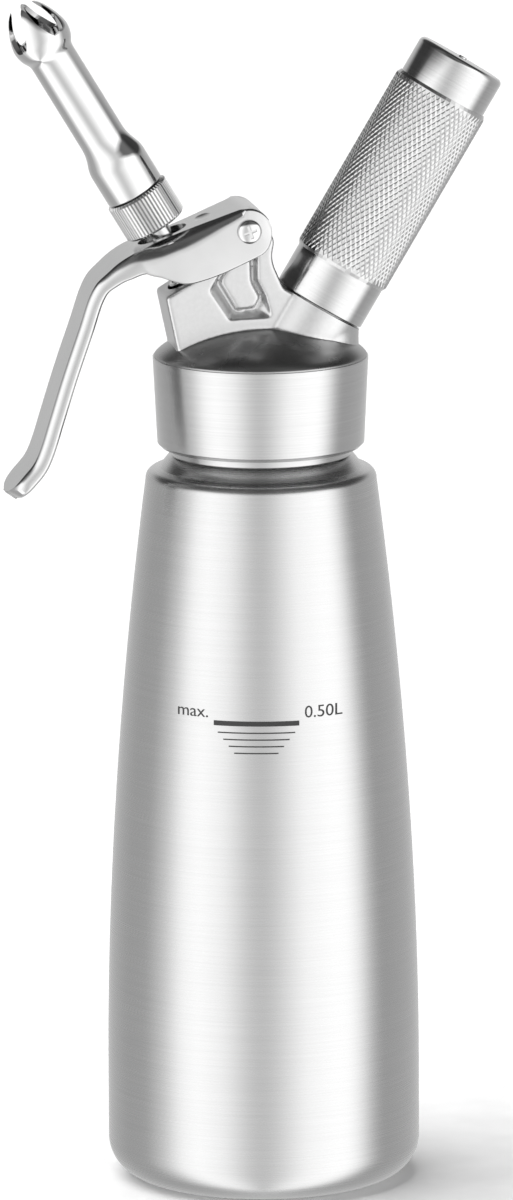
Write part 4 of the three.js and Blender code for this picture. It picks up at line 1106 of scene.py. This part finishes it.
def make_pivot(sizes):
    seat = sizes.half_width + MEETING_GAP
    head = sizes.screw_head
    edge = 0.0002
    shank = 0.0012
    shank_end = 0.003 - seat
    rim = 0.0004
    corners = [(0, shank_end), (shank, shank_end, edge), (shank, seat), (head, seat, edge)]
    dome = [
        (head * cos(angle), seat + rim + (sizes.screw_rise - rim) * sin(angle)) for angle in quarter(8)
    ]
    screw = turn("pivot_screw_body", rounded(corners) + dome, 64)
    for i in range(2):
        top = (0, 0, seat + sizes.screw_rise)
        arm = start(bpy.ops.mesh.primitive_cube_add, "cutter", size=1, location=top)
        arm.scale = (sizes.recess_length, sizes.recess_width, sizes.screw_rise)
        arm.rotation_euler.z = sizes.recess_turn + pi / 2 * i
        settle(arm)
        combine(screw, arm, "DIFFERENCE")
    aside(screw, -1)
    soften(screw)
    coat(screw, "Chrome")
    finish(screw, "lever", "screw_chrome", "pivot_screw")
    bore = 0.0015
    barrel = 0.0023
    barrel_end = MEETING_GAP - sizes.half_width
    bore_floor = seat - 0.002
    nut_top = seat + 0.0013
    corners = [
        (bore, barrel_end), (barrel, barrel_end, edge), (barrel, seat), (head, seat, edge),
        (head, nut_top, rim), (0, nut_top), (0, bore_floor), (bore, bore_floor),
    ]
    nut = aside(turn("pivot_nut_body", rounded(corners), 64, ring=True), 1)
    soften(nut)
    coat(nut, "Chrome")
    finish(nut, "lever", "screw_chrome", "pivot_nut")


# Valve, adaptor and nozzle

def make_stem(sizes):
    foot, top = reach("valve_stem", VALVE_AXIS)
    seal_low, seal_high = reach("stem_o_ring", VALVE_AXIS)
    groove_low = seal_low - MEETING_GAP
    groove_high = seal_high + MEETING_GAP
    groove_floor = 0.0026
    land = 0.004
    land_length = 0.0008
    waist = 0.003
    waist_end = groove_low - land_length
    land_end = groove_high + land_length
    plate = radii("valve_seal", VALVE_AXIS)[1] + 0.0002
    plate_top = foot + 0.0016
    shoulder = reach("thrust_collar", VALVE_AXIS)[0] - MEETING_GAP
    spindle = 0.0027
    edge = 0.0002
    corners = [
        (0, foot), (plate, foot, edge), (plate, plate_top, edge), (waist, plate_top, edge),
        (waist, waist_end, edge), (land, waist_end, edge), (land, groove_low, edge / 2),
        (groove_floor, groove_low, edge / 2), (groove_floor, groove_high, edge / 2),
        (land, groove_high, edge / 2), (land, land_end, edge), (sizes.stem, land_end),
        (sizes.stem, shoulder, edge), (spindle, shoulder), (spindle, top, 0.0003), (0, top),
    ]
    stem = turn("valve_stem_body", rounded(corners, 3), sizes.sides)
    side_hole = 0.0012
    side_hole_height = 0.0121
    cream_way = 0.0015
    cream_way_end = top + 0.002
    beyond = 0.005
    combine(stem, rod("cutter", cream_way, side_hole_height, cream_way_end, 32), "DIFFERENCE")
    place = Vector((0, 0, side_hole_height))
    combine(stem, cross_rod("cutter", side_hole, -beyond, beyond, place, 32), "DIFFERENCE")
    mount(stem, VALVE_AXIS, "valve", "Turned steel", "turned_steel", "valve_stem")


def make_spring(sizes):
    low, high = reach("valve_spring", VALVE_AXIS)
    section = wire_section((sizes.coil, low + sizes.wire), sizes.wire)
    pitch = (high - low - 2 * sizes.wire) / sizes.coil_turns
    sides = 40
    spring = wind("spring_coil", section, sizes.coil_turns, pitch, sides)
    mount(spring, VALVE_AXIS, "head", "Turned steel", "turned_steel", "valve_spring", angle=60)
    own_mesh(spring)


# Rings with a square section: node, body, axis, finish, slot and the round of its edges.
RINGS = [
    ("head_gasket", "seal_ring", UPRIGHT, "Black rubber", "black_rubber", 0.0004),
    ("valve_seal", "valve", VALVE_AXIS, "Black rubber", "black_rubber", 0.0002),
    ("nozzle_gasket", "nozzle_seal", VALVE_AXIS, "Black rubber", "black_rubber", 0.0003),
    ("charger_seal", "head", CHARGER_AXIS, "Black rubber", "black_rubber", 0.0003),
    ("thrust_collar", "valve", VALVE_AXIS, "Turned steel", "turned_steel", 0.0003),
]


def make_rings(sizes):
    for node, body, axis, material, slot, edge in RINGS:
        inner, outer = radii(node, axis)
        low, high = reach(node, axis)
        ring = turn(node + "_body", ring_outline(inner, outer, low, high, edge), sizes.sides, ring=True)
        mount(ring, axis, body, material, slot, node)
    inner, outer = radii("stem_o_ring", VALVE_AXIS)
    low, high = reach("stem_o_ring", VALVE_AXIS)
    centre = ((inner + outer) / 2, (low + high) / 2)
    seal = turn("stem_o_ring_body", wire_section(centre, (high - low) / 2), sizes.sides, ring=True)
    mount(seal, VALVE_AXIS, "valve", "Black rubber", "black_rubber", "stem_o_ring", angle=60)


def make_adaptor(sizes):
    low, tip = reach("nozzle_adaptor", VALVE_AXIS)
    high = low + sizes.adaptor_grip
    radius = radii("nozzle_adaptor", VALVE_AXIS)[1]
    edge = sizes.adaptor_edge
    stem_bore = 0.003
    stem_top = reach("valve_stem", VALVE_AXIS)[1] + MEETING_GAP
    cream_way = 0.002
    corners = [
        (stem_bore, low), (radius - edge, low), (radius, low + edge), (radius, high - edge),
        (radius - edge, high), (sizes.spigot, high), (sizes.spigot, tip, 0.0004), (cream_way, tip, 0.0002),
        (cream_way, stem_top), (stem_bore, stem_top),
    ]
    sides_per_tooth = 4
    adaptor = turn("adaptor_body", rounded(corners), sides_per_tooth * sizes.teeth, ring=True)
    choose(adaptor)
    bpy.ops.object.mode_set(mode="EDIT")
    step = 2 * pi / sides_per_tooth / sizes.teeth

    def in_groove(corner):
        place = round(atan2(corner.co.y, corner.co.x) / step) % sides_per_tooth
        return place == 0 and Vector(corner.co[:2]).length > radius - edge / 2

    select_where(adaptor, "VERT", in_groove)
    shrink = 1 - sizes.groove / radius
    bpy.ops.transform.resize(value=(shrink, shrink, 1), center_override=(0, 0, 0))
    section = thread_section(sizes.spigot, SPIGOT_THREAD, SPIGOT_THREAD_FOOT, high + SPIGOT_THREAD_START)
    thread = wind("spigot_thread", section, SPIGOT_TURNS, SPIGOT_PITCH, SPIGOT_THREAD_SIDES)
    combine(adaptor, thread, "UNION")
    mount(adaptor, VALVE_AXIS, "valve", "Turned steel", "knurled_steel", "nozzle_adaptor", angle=25)


# The pointed end, from its foot up: the height, and the share of the belly or of the fall to the points.
TULIP_BELLY_SHARES = [(0.08, 0.1), (0.2, 0.68), (0.31, 0.95), (0.41, 1.0)]
TULIP_TIP_SHARES = [(0.55, 0.9), (0.7, 0.71), (0.83, 0.49), (0.93, 0.26), (1.0, 0.0)]
# A slot between two points: half its width and its height over the slot's foot, as shares.
SLOT_SHARES = [(0.42, 0.0), (0.58, 0.04), (0.8, 0.18), (1.0, 0.45), (0.95, 0.7), (0.69, 1.0), (0.66, 1.1)]


def tulip_outlines(sizes, foot):
    """Outer and inner outline of the nozzle's pointed end, whose wall thins towards the points."""
    bulge = sizes.tulip_belly - sizes.nozzle_tube
    fall = sizes.tulip_belly - sizes.tulip_tip
    rows = [(0.0, sizes.nozzle_tube)]
    rows += [(place, sizes.nozzle_tube + share * bulge) for place, share in TULIP_BELLY_SHARES]
    rows += [(place, sizes.tulip_tip + share * fall) for place, share in TULIP_TIP_SHARES]
    leaf = [(radius, foot + place * sizes.tulip) for place, radius in smoothed(rows, 4)]
    hollow = []
    for radius, height in leaf[::-1]:
        thinned = ((height - foot) / sizes.tulip) ** 2
        hollow.append((radius - sizes.tulip_wall + (sizes.tulip_wall - sizes.tip_wall) * thinned, height))
    return leaf, hollow


def make_nozzle(sizes):
    low, high = reach("nozzle", VALVE_AXIS)
    seat = reach("nozzle_gasket", VALVE_AXIS)[1] + MEETING_GAP
    bore = sizes.spigot + SPIGOT_THREAD + THREAD_GAP
    base_wall = 0.0009
    base = bore + base_wall
    wide = low + sizes.nozzle_base
    tube = wide + sizes.nozzle_taper
    tulip_foot = high - sizes.tulip
    inside = sizes.nozzle_tube - sizes.nozzle_wall
    edge = 0.0001
    base_edge = 0.0004
    base_round = 0.008
    tube_round = 0.012
    outer = rounded([
        (bore, low, edge), (base, low, base_edge), (base, wide, base_round),
        (sizes.nozzle_tube, tube, tube_round), (sizes.nozzle_tube, tulip_foot),
    ])[:-1]
    inner = rounded([(inside, tulip_foot - 0.001), (inside, seat, edge), (bore, seat)])
    leaf, hollow = tulip_outlines(sizes, tulip_foot)
    nozzle = turn("nozzle_body", outer + leaf + hollow + inner, sizes.sides, ring=True)
    points = 4
    cut_start = 0.0005
    cut_end = 0.012
    slot_foot = high - sizes.slot_depth
    side = [
        (sizes.slot_width / 2 * share, slot_foot + sizes.slot_depth * up)
        for share, up in smoothed(SLOT_SHARES, 4)
    ]
    cut = side + [(-across, height) for across, height in side[::-1]]
    for i in range(points):
        slot = slab("cutter", cut, cut_start, cut_end)
        slot.rotation_euler.z = sizes.slot_turn + 2 * pi / points * i
        settle(slot)
        combine(nozzle, slot, "DIFFERENCE")
    thread_start = low + SPIGOT_THREAD_START - MEETING_GAP
    section = thread_section(bore, -SPIGOT_THREAD, SPIGOT_THREAD_FOOT, thread_start)
    thread = wind("nozzle_thread", section, SPIGOT_TURNS, SPIGOT_PITCH, SPIGOT_THREAD_SIDES, pi)
    combine(nozzle, thread, "UNION")
    mount(nozzle, VALVE_AXIS, "nozzle", "Chrome", "nozzle_chrome", "nozzle")


# Gas side

def make_piercing_pin():
    low, tip = reach("piercing_pin", CHARGER_AXIS)
    flange = radii("piercing_pin", CHARGER_AXIS)[1]
    flange_top = low + 0.0009
    bore = 0.00035
    needle = 0.0008
    point = 0.00052
    point_length = 0.0014
    edge = 0.0001
    corners = [
        (bore, low), (flange, low, edge), (flange, flange_top, edge), (needle, flange_top),
        (needle, tip - point_length), (point, tip), (bore, tip),
    ]
    pin = turn("piercing_pin_body", rounded(corners), 32, ring=True)
    mount(pin, CHARGER_AXIS, "head", "Turned steel", "turned_steel", "piercing_pin")


def make_pin_holder():
    outer = radii("pin_holder", CHARGER_AXIS)[1]
    low, high = reach("pin_holder", CHARGER_AXIS)
    bore = 0.00115
    edge = 0.0002
    slot_size = (0.012, 0.001, 0.002)
    plug = turn("pin_holder_body", ring_outline(bore, outer, low, high, edge), 48, ring=True)
    slot = start(bpy.ops.mesh.primitive_cube_add, "cutter", size=1, location=(0, 0, high))
    slot.scale = slot_size
    settle(slot)
    combine(plug, slot, "DIFFERENCE")
    mount(plug, CHARGER_AXIS, "head", "Brass", "brass", "pin_holder")


def make_check_valve():
    """The one-way valve's rubber flap on its stalk, and the ring nut that holds it."""
    edge = 0.0002
    lower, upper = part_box("check_valve_nut")
    bore = 0.0019
    outline = ring_outline(bore, (upper.x - lower.x) / 2, lower.z, upper.z, edge)
    nut = turn("check_nut_body", outline, 48, ring=True)
    nut.location.x = (upper.x + lower.x) / 2
    soften(nut)
    coat(nut, "Brass")
    finish(nut, "head", "brass", "check_valve_nut")
    lower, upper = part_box("check_valve")
    outer = (upper.x - lower.x) / 2
    stalk = 0.00096
    cone = 0.0024
    hollow = 0.0015
    flap_low = lower.z + 0.0016
    corners = [
        (0, lower.z), (stalk, lower.z, edge), (cone, flap_low), (outer, flap_low, edge),
        (outer, upper.z, edge), (hollow, upper.z), (hollow, flap_low), (0, flap_low),
    ]
    flap = turn("check_valve_body", rounded(corners), 48)
    flap.location.x = (upper.x + lower.x) / 2
    soften(flap)
    coat(flap, "Black rubber")
    finish(flap, "head", "black_rubber", "check_valve")


def make_charger(sizes):
    low, high = reach("charger", CHARGER_AXIS)
    radius = sizes.charger
    neck = sizes.charger_neck
    wall = 0.001
    mouth = 0.0015
    neck_top = low + 0.0084
    shoulder = low + 0.0169
    neck_wall = 0.0015
    inner_neck = neck - neck_wall
    inner_shoulder = low + 0.0179
    neck_edge = 0.0006
    neck_round = 0.002
    bend = 0.0045
    centre = (0, high - radius)
    tail = arc(centre, radius, 0, 90, 14)
    inner = arc(centre, radius - wall, 90, 0, 14)
    outer = [(mouth, low), (neck, low, neck_edge), (neck, neck_top, neck_round), (radius, shoulder, bend)]
    inside = [
        (radius - wall, inner_shoulder, bend), (inner_neck, neck_top, neck_round), (inner_neck, low + wall),
        (mouth, low + wall),
    ]
    outline = rounded([*outer, tail[0]])[:-1] + tail + inner + rounded([inner[-1], *inside])[1:]
    charger = turn("charger_body", outline + [outline[0]], 96)
    mount(charger, CHARGER_AXIS, "charger", "Zinc steel", "charger_steel", "charger")


def make_holder(sizes):
    low = 0.0295
    pip_rise = 0.0005
    high = reach("charger_holder", CHARGER_AXIS)[1] - pip_rise
    grip = low + sizes.band_length
    grip_end = high - sizes.cap_length
    thread = sizes.stud + sizes.stud_thread + THREAD_GAP
    thread_end = 0.0399
    thread_runout = 0.0404
    charger_room = 0.0004
    bore = sizes.charger + charger_room
    mouth_edge = 0.0002
    band_edge = 0.0005
    pip_foot = 0.0001
    corners = [
        (thread, low, mouth_edge), (sizes.band, low, band_edge), (sizes.band, grip), (sizes.band, grip_end),
        (sizes.cap, grip_end), (sizes.cap, high, sizes.edge), (sizes.pip, high, pip_foot),
        (sizes.pip, high + pip_rise, 0.0002), (0, high + pip_rise),
    ]
    end = reach("charger", CHARGER_AXIS)[1] - sizes.charger
    depth = sizes.charger + MEETING_GAP
    inner = [(bore * cos(angle), end + depth * sin(angle)) for angle in quarter(12)][::-1]
    inner += [(bore, thread_runout), (thread, thread_end)]
    holder = turn("holder_body", inner + rounded(corners), sizes.sides)
    section = thread_section(thread, -sizes.stud_thread, STUD_THREAD_FOOT, STUD_THREAD_START)
    ridge = wind("holder_thread", section, STUD_TURNS, sizes.stud_pitch, sizes.sides, pi)
    combine(holder, ridge, "UNION")
    mount(holder, CHARGER_AXIS, "charger_holder", "Turned steel", "knurled_steel", "charger_holder", angle=25)
    make_knurl(sizes, grip, grip_end)


def make_knurl(sizes, low, high):
    """The diamond knurl: a tube of squares, poked, turned into diamonds, and each diamond raised."""
    root = sizes.grip - sizes.knurl_depth
    margin = 0.0008
    end_radius = 0.0122
    inner_radius = 0.0116
    tube = start(
        bpy.ops.mesh.primitive_cylinder_add, "holder_knurl", vertices=sizes.knurl_around, radius=root,
        depth=high - low - 2 * margin, location=(0, 0, (low + high) / 2), end_fill_type="NOTHING",
    )
    settle(tube)
    bpy.ops.object.mode_set(mode="EDIT")
    select_where(tube, "EDGE", lambda edge: abs(edge.verts[0].co.z - edge.verts[1].co.z) > NEARLY)
    bpy.ops.mesh.subdivide(number_cuts=sizes.knurl_rows - 1)
    bpy.ops.mesh.select_all(action="SELECT")

    def place_of(corner):
        return tuple(round(value, 7) for value in corner.co)

    squares = {place_of(corner) for corner in bmesh.from_edit_mesh(tube.data).verts}
    bpy.ops.mesh.poke(offset=0)

    def was_square(edge):
        return len(edge.link_faces) == 2 and all(place_of(corner) in squares for corner in edge.verts)

    def is_open(edge):
        return len(edge.link_faces) == 1

    select_where(tube, "EDGE", was_square)
    bpy.ops.mesh.dissolve_edges(use_verts=False, use_face_split=False)
    select_where(tube, "FACE", lambda face: len(face.verts) == 4)
    bpy.ops.mesh.inset(thickness=sizes.knurl_land, depth=sizes.knurl_depth, use_individual=True)
    for side, level in ((-1, low + margin), (1, high - margin)):
        select_where(
            tube, "EDGE", lambda edge: is_open(edge) and side * (edge.verts[0].co.z - level) > -NEARLY
        )
        for rise, shrink in ((side * margin, end_radius / root), (0, inner_radius / end_radius)):
            bpy.ops.mesh.extrude_region_move(TRANSFORM_OT_translate={"value": (0, 0, rise)})
            bpy.ops.transform.resize(value=(shrink, shrink, 1), center_override=(0, 0, 0))
    select_where(tube, "EDGE", is_open)
    bpy.ops.mesh.bridge_edge_loops()
    clean(tube)
    stand(tube, CHARGER_AXIS)
    coat(tube, "Knurled steel")
    finish(tube, "charger_holder", "knurled_steel", "charger_holder")


# Stage

def make_finishes(colors):
    tilt = atan2(CHARGER_AXIS[1].x, CHARGER_AXIS[1].z)
    metal("Brushed steel", colors.steel, 0.27, grain=(30, 30, 3000), spread=0.04, bump=0.025, brushed=0.6)
    metal("Collar steel", colors.steel, 0.25, grain=(30, 30, 3000), spread=0.03, bump=0.015, brushed=0.5)
    metal("Polished dome", colors.dome, 0.28, grain=(60, 60, 60), spread=0.05, bump=0.02)
    metal("Satin casting", colors.casting, 0.33, grain=(900, 900, 900), spread=0.06, bump=0.08)
    metal("Lever steel", colors.lever, 0.20, grain=(120, 120, 120), spread=0.05, bump=0.02)
    metal("Chrome", colors.chrome, 0.07, grain=(80, 80, 80), spread=0.03, bump=0.01)
    metal("Turned steel", colors.turned, 0.14, grain=(40, 40, 2500), spread=0.04, bump=0.03, lean=tilt)
    metal("Knurled steel", colors.knurl, 0.22, grain=(500, 500, 500), spread=0.05, bump=0.05)
    metal("Zinc steel", colors.zinc, 0.34, grain=(60, 60, 400), spread=0.08, bump=0.04, lean=tilt)
    metal("Brass", colors.brass, 0.25, grain=(200, 200, 200), spread=0.05, bump=0.03)
    matte("Black rubber", colors.rubber, 0.62)
    matte("Black print", colors.ink, 0.45, bump=0.03)
    matte("Pale floor", (0.9, 0.9, 0.9, 1.0), 0.7, scale=60, bump=0.0)


# Brightness of the studio round the dispenser: degrees from the camera to the right, and how bright it is.
STUDIO_SHARES = [
    (-180, 0.78), (-150, 0.62), (-122, 0.52), (-98, 0.55), (-80, 0.94), (-64, 1.60), (-50, 1.74), (-30, 1.52),
    (-12, 1.00), (-5, 0.86), (2, 0.86), (10, 1.02), (32, 1.60), (55, 1.77), (68, 1.77), (78, 1.40),
    (88, 0.80), (98, 0.50), (140, 0.60), (180, 0.78),
]
# The same by height: sine of the height over the horizon, and the share of the brightness that is left.
CEILING_SHARES = [(-1.0, 1.0), (0.16, 1.0), (0.36, 0.12), (1.0, 0.07)]
# How much higher the walls reach: degrees from the camera to the right, and the lift.
LIFT_SHARES = [
    (-180, 0.2), (-150, 0.1), (-125, 0.0), (-100, 0.0), (-78, 0.25), (75, 0.25), (100, 0.1), (150, 0.1),
    (180, 0.2),
]


def gradient(tree, source, rows, low, high):
    """A ramp of greys over a source between 0 and 1, from rows whose places lie between two limits."""
    ramp = tree.nodes.new("ShaderNodeValToRGB")
    elements = ramp.color_ramp.elements
    while len(elements) < len(rows):
        elements.new(0.5)
    for element, (place, shade) in zip(elements, rows):
        element.position = (place - low) / (high - low)
        element.color = (shade, shade, shade, 1)
    tree.links.new(source, ramp.inputs["Fac"])
    return ramp.outputs["Color"]


def scaled(tree, source, low, high):
    """Maps a value between two limits to between 0 and 1."""
    change = tree.nodes.new("ShaderNodeMapRange")
    change.inputs["From Min"].default_value = low
    change.inputs["From Max"].default_value = high
    tree.links.new(source, change.inputs["Value"])
    return change.outputs["Result"]


def make_world(camera_place):
    """A studio of soft walls: two bright sides, a grey front and back, and a dark ceiling."""
    world = bpy.data.worlds.new("Studio")
    bpy.context.scene.world = world
    world.use_nodes = True
    tree = world.node_tree
    place = tree.nodes.new("ShaderNodeTexCoord")
    facing = tree.nodes.new("ShaderNodeVectorRotate")
    facing.rotation_type = "Z_AXIS"
    facing.inputs["Angle"].default_value = -atan2(camera_place[0], -camera_place[1])
    split = tree.nodes.new("ShaderNodeSeparateXYZ")
    front = tree.nodes.new("ShaderNodeMath")
    front.operation = "MULTIPLY"
    front.inputs[1].default_value = -1
    around = tree.nodes.new("ShaderNodeMath")
    around.operation = "ARCTAN2"
    lowered = tree.nodes.new("ShaderNodeMath")
    lowered.operation = "SUBTRACT"
    product = tree.nodes.new("ShaderNodeVectorMath")
    product.operation = "MULTIPLY"
    tree.links.new(place.outputs["Generated"], facing.inputs["Vector"])
    tree.links.new(facing.outputs["Vector"], split.inputs["Vector"])
    tree.links.new(split.outputs["Y"], front.inputs[0])
    tree.links.new(split.outputs["X"], around.inputs[0])
    tree.links.new(front.outputs["Value"], around.inputs[1])
    direction = scaled(tree, around.outputs["Value"], -pi, pi)
    walls = gradient(tree, direction, STUDIO_SHARES, -180, 180)
    lifts = gradient(tree, direction, LIFT_SHARES, -180, 180)
    tree.links.new(split.outputs["Z"], lowered.inputs[0])
    tree.links.new(lifts, lowered.inputs[1])
    ceiling = gradient(tree, scaled(tree, lowered.outputs["Value"], -1, 1), CEILING_SHARES, -1, 1)
    tree.links.new(walls, product.inputs[0])
    tree.links.new(ceiling, product.inputs[1])
    tree.links.new(product.outputs["Vector"], tree.nodes["Background"].inputs["Color"])


def make_stage(sizes):
    floor = start(bpy.ops.mesh.primitive_plane_add, "floor", size=sizes.floor)
    coat(floor, "Pale floor")
    floor.visible_glossy = False
    make_world(sizes.camera_place)
    sun_place = (-1.5, 1.0, 4.0)
    sun_turn = (radians(-12), radians(-20), 0)
    sun = start(bpy.ops.object.light_add, "floor_sun", type="SUN", location=sun_place)
    sun.data.energy = sizes.sun
    sun.data.angle = sizes.sun_spread
    sun.rotation_euler = sun_turn
    sun.visible_glossy = False
    camera = start(bpy.ops.object.camera_add, "photo_camera", location=sizes.camera_place)
    view = Vector(sizes.camera_aim) - Vector(sizes.camera_place)
    camera.rotation_mode = "QUATERNION"
    camera.rotation_quaternion = view.to_track_quat("-Z", "Y")
    bpy.ops.transform.rotate(
        value=-sizes.camera_roll, orient_axis="Z", orient_type="LOCAL",
        center_override=tuple(sizes.camera_place),
    )
    camera.data.lens = sizes.lens
    camera.data.sensor_fit = "VERTICAL"
    camera.data.sensor_height = 36
    bpy.context.scene.camera = camera
    bpy.context.scene.view_settings.view_transform = "Standard"


# Operators, panel and registration

class DISPENSER_OT_finishes(bpy.types.Operator):
    """Makes the procedural materials"""

    bl_idname = "dispenser.finishes"
    bl_label = "Finishes"

    def execute(self, context):
        make_finishes(context.scene.dispenser_finishes)
        return {"FINISHED"}


class DISPENSER_OT_bottle(bpy.types.Operator):
    """Makes the drawn steel bottle with its threaded neck"""

    bl_idname = "dispenser.bottle"
    bl_label = "Bottle"

    def execute(self, context):
        make_bottle(context.scene.dispenser_bottle)
        return {"FINISHED"}


class DISPENSER_OT_marks(bpy.types.Operator):
    """Prints the fill mark on the bottle"""

    bl_idname = "dispenser.marks"
    bl_label = "Fill mark"

    def execute(self, context):
        make_marks(context.scene.dispenser_marks)
        return {"FINISHED"}


class DISPENSER_OT_head(bpy.types.Operator):
    """Makes the collar with its dome, the casting and the charger port's stud"""

    bl_idname = "dispenser.head"
    bl_label = "Head"

    def execute(self, context):
        scene = context.scene
        make_collar(scene.dispenser_head, scene.dispenser_valve, scene.dispenser_bottle)
        make_casting(scene.dispenser_head, scene.dispenser_valve, scene.dispenser_holder)
        make_stud(scene.dispenser_holder)
        return {"FINISHED"}


class DISPENSER_OT_lever(bpy.types.Operator):
    """Makes the lever with its pivot screw and nut"""

    bl_idname = "dispenser.lever"
    bl_label = "Lever"

    def execute(self, context):
        make_lever(context.scene.dispenser_lever)
        make_pivot(context.scene.dispenser_lever)
        return {"FINISHED"}


class DISPENSER_OT_valve(bpy.types.Operator):
    """Makes the valve's stem, its spring, and all seals and rings"""

    bl_idname = "dispenser.valve"
    bl_label = "Valve"

    def execute(self, context):
        make_stem(context.scene.dispenser_valve)
        make_spring(context.scene.dispenser_valve)
        make_rings(context.scene.dispenser_valve)
        return {"FINISHED"}


class DISPENSER_OT_nozzle(bpy.types.Operator):
    """Makes the knurled adaptor and the four-pointed nozzle"""

    bl_idname = "dispenser.nozzle"
    bl_label = "Nozzle"

    def execute(self, context):
        make_adaptor(context.scene.dispenser_valve)
        make_nozzle(context.scene.dispenser_valve)
        return {"FINISHED"}


class DISPENSER_OT_holder(bpy.types.Operator):
    """Makes the gas fittings, the charger and its knurled holder"""

    bl_idname = "dispenser.holder"
    bl_label = "Charger and holder"

    def execute(self, context):
        make_piercing_pin()
        make_pin_holder()
        make_check_valve()
        make_charger(context.scene.dispenser_holder)
        make_holder(context.scene.dispenser_holder)
        return {"FINISHED"}


class DISPENSER_OT_stage(bpy.types.Operator):
    """Makes the floor, the studio light and the camera"""

    bl_idname = "dispenser.stage"
    bl_label = "Stage"

    def execute(self, context):
        make_stage(context.scene.dispenser_stage)
        return {"FINISHED"}


class DISPENSER_PT_panel(bpy.types.Panel):
    """Lists the dispenser's pieces"""

    bl_idname = "DISPENSER_PT_panel"
    bl_label = "Cream Dispenser"
    bl_space_type = "VIEW_3D"
    bl_region_type = "UI"
    bl_category = "Cream Dispenser"

    def draw(self, context):
        for operator in OPERATORS:
            self.layout.operator(operator.bl_idname)
        for name in GROUPS:
            group = getattr(context.scene, name)
            box = self.layout.box()
            for setting in group.bl_rna.properties:
                if not setting.is_readonly and setting.identifier != "name":
                    box.prop(group, setting.identifier)


OPERATORS = [
    DISPENSER_OT_finishes, DISPENSER_OT_bottle, DISPENSER_OT_marks, DISPENSER_OT_head, DISPENSER_OT_lever,
    DISPENSER_OT_valve, DISPENSER_OT_nozzle, DISPENSER_OT_holder, DISPENSER_OT_stage,
]
GROUPS = {
    "dispenser_bottle": BottleSizes, "dispenser_marks": MarkSizes, "dispenser_head": HeadSizes,
    "dispenser_valve": ValveSizes, "dispenser_lever": LeverSizes, "dispenser_holder": HolderSizes,
    "dispenser_finishes": Finishes, "dispenser_stage": StageSizes,
}


def register():
    for kind in (*GROUPS.values(), *OPERATORS, DISPENSER_PT_panel):
        bpy.utils.register_class(kind)
    for name, kind in GROUPS.items():
        setattr(bpy.types.Scene, name, bpy.props.PointerProperty(type=kind))


def unregister():
    for name in GROUPS:
        delattr(bpy.types.Scene, name)
    for kind in (DISPENSER_PT_panel, *reversed(OPERATORS), *reversed(GROUPS.values())):
        bpy.utils.unregister_class(kind)


def main():
    register()
    for operator in OPERATORS:
        group, name = operator.bl_idname.split(".")
        getattr(getattr(bpy.ops, group), name)()


if __name__ == "__main__":
    main()
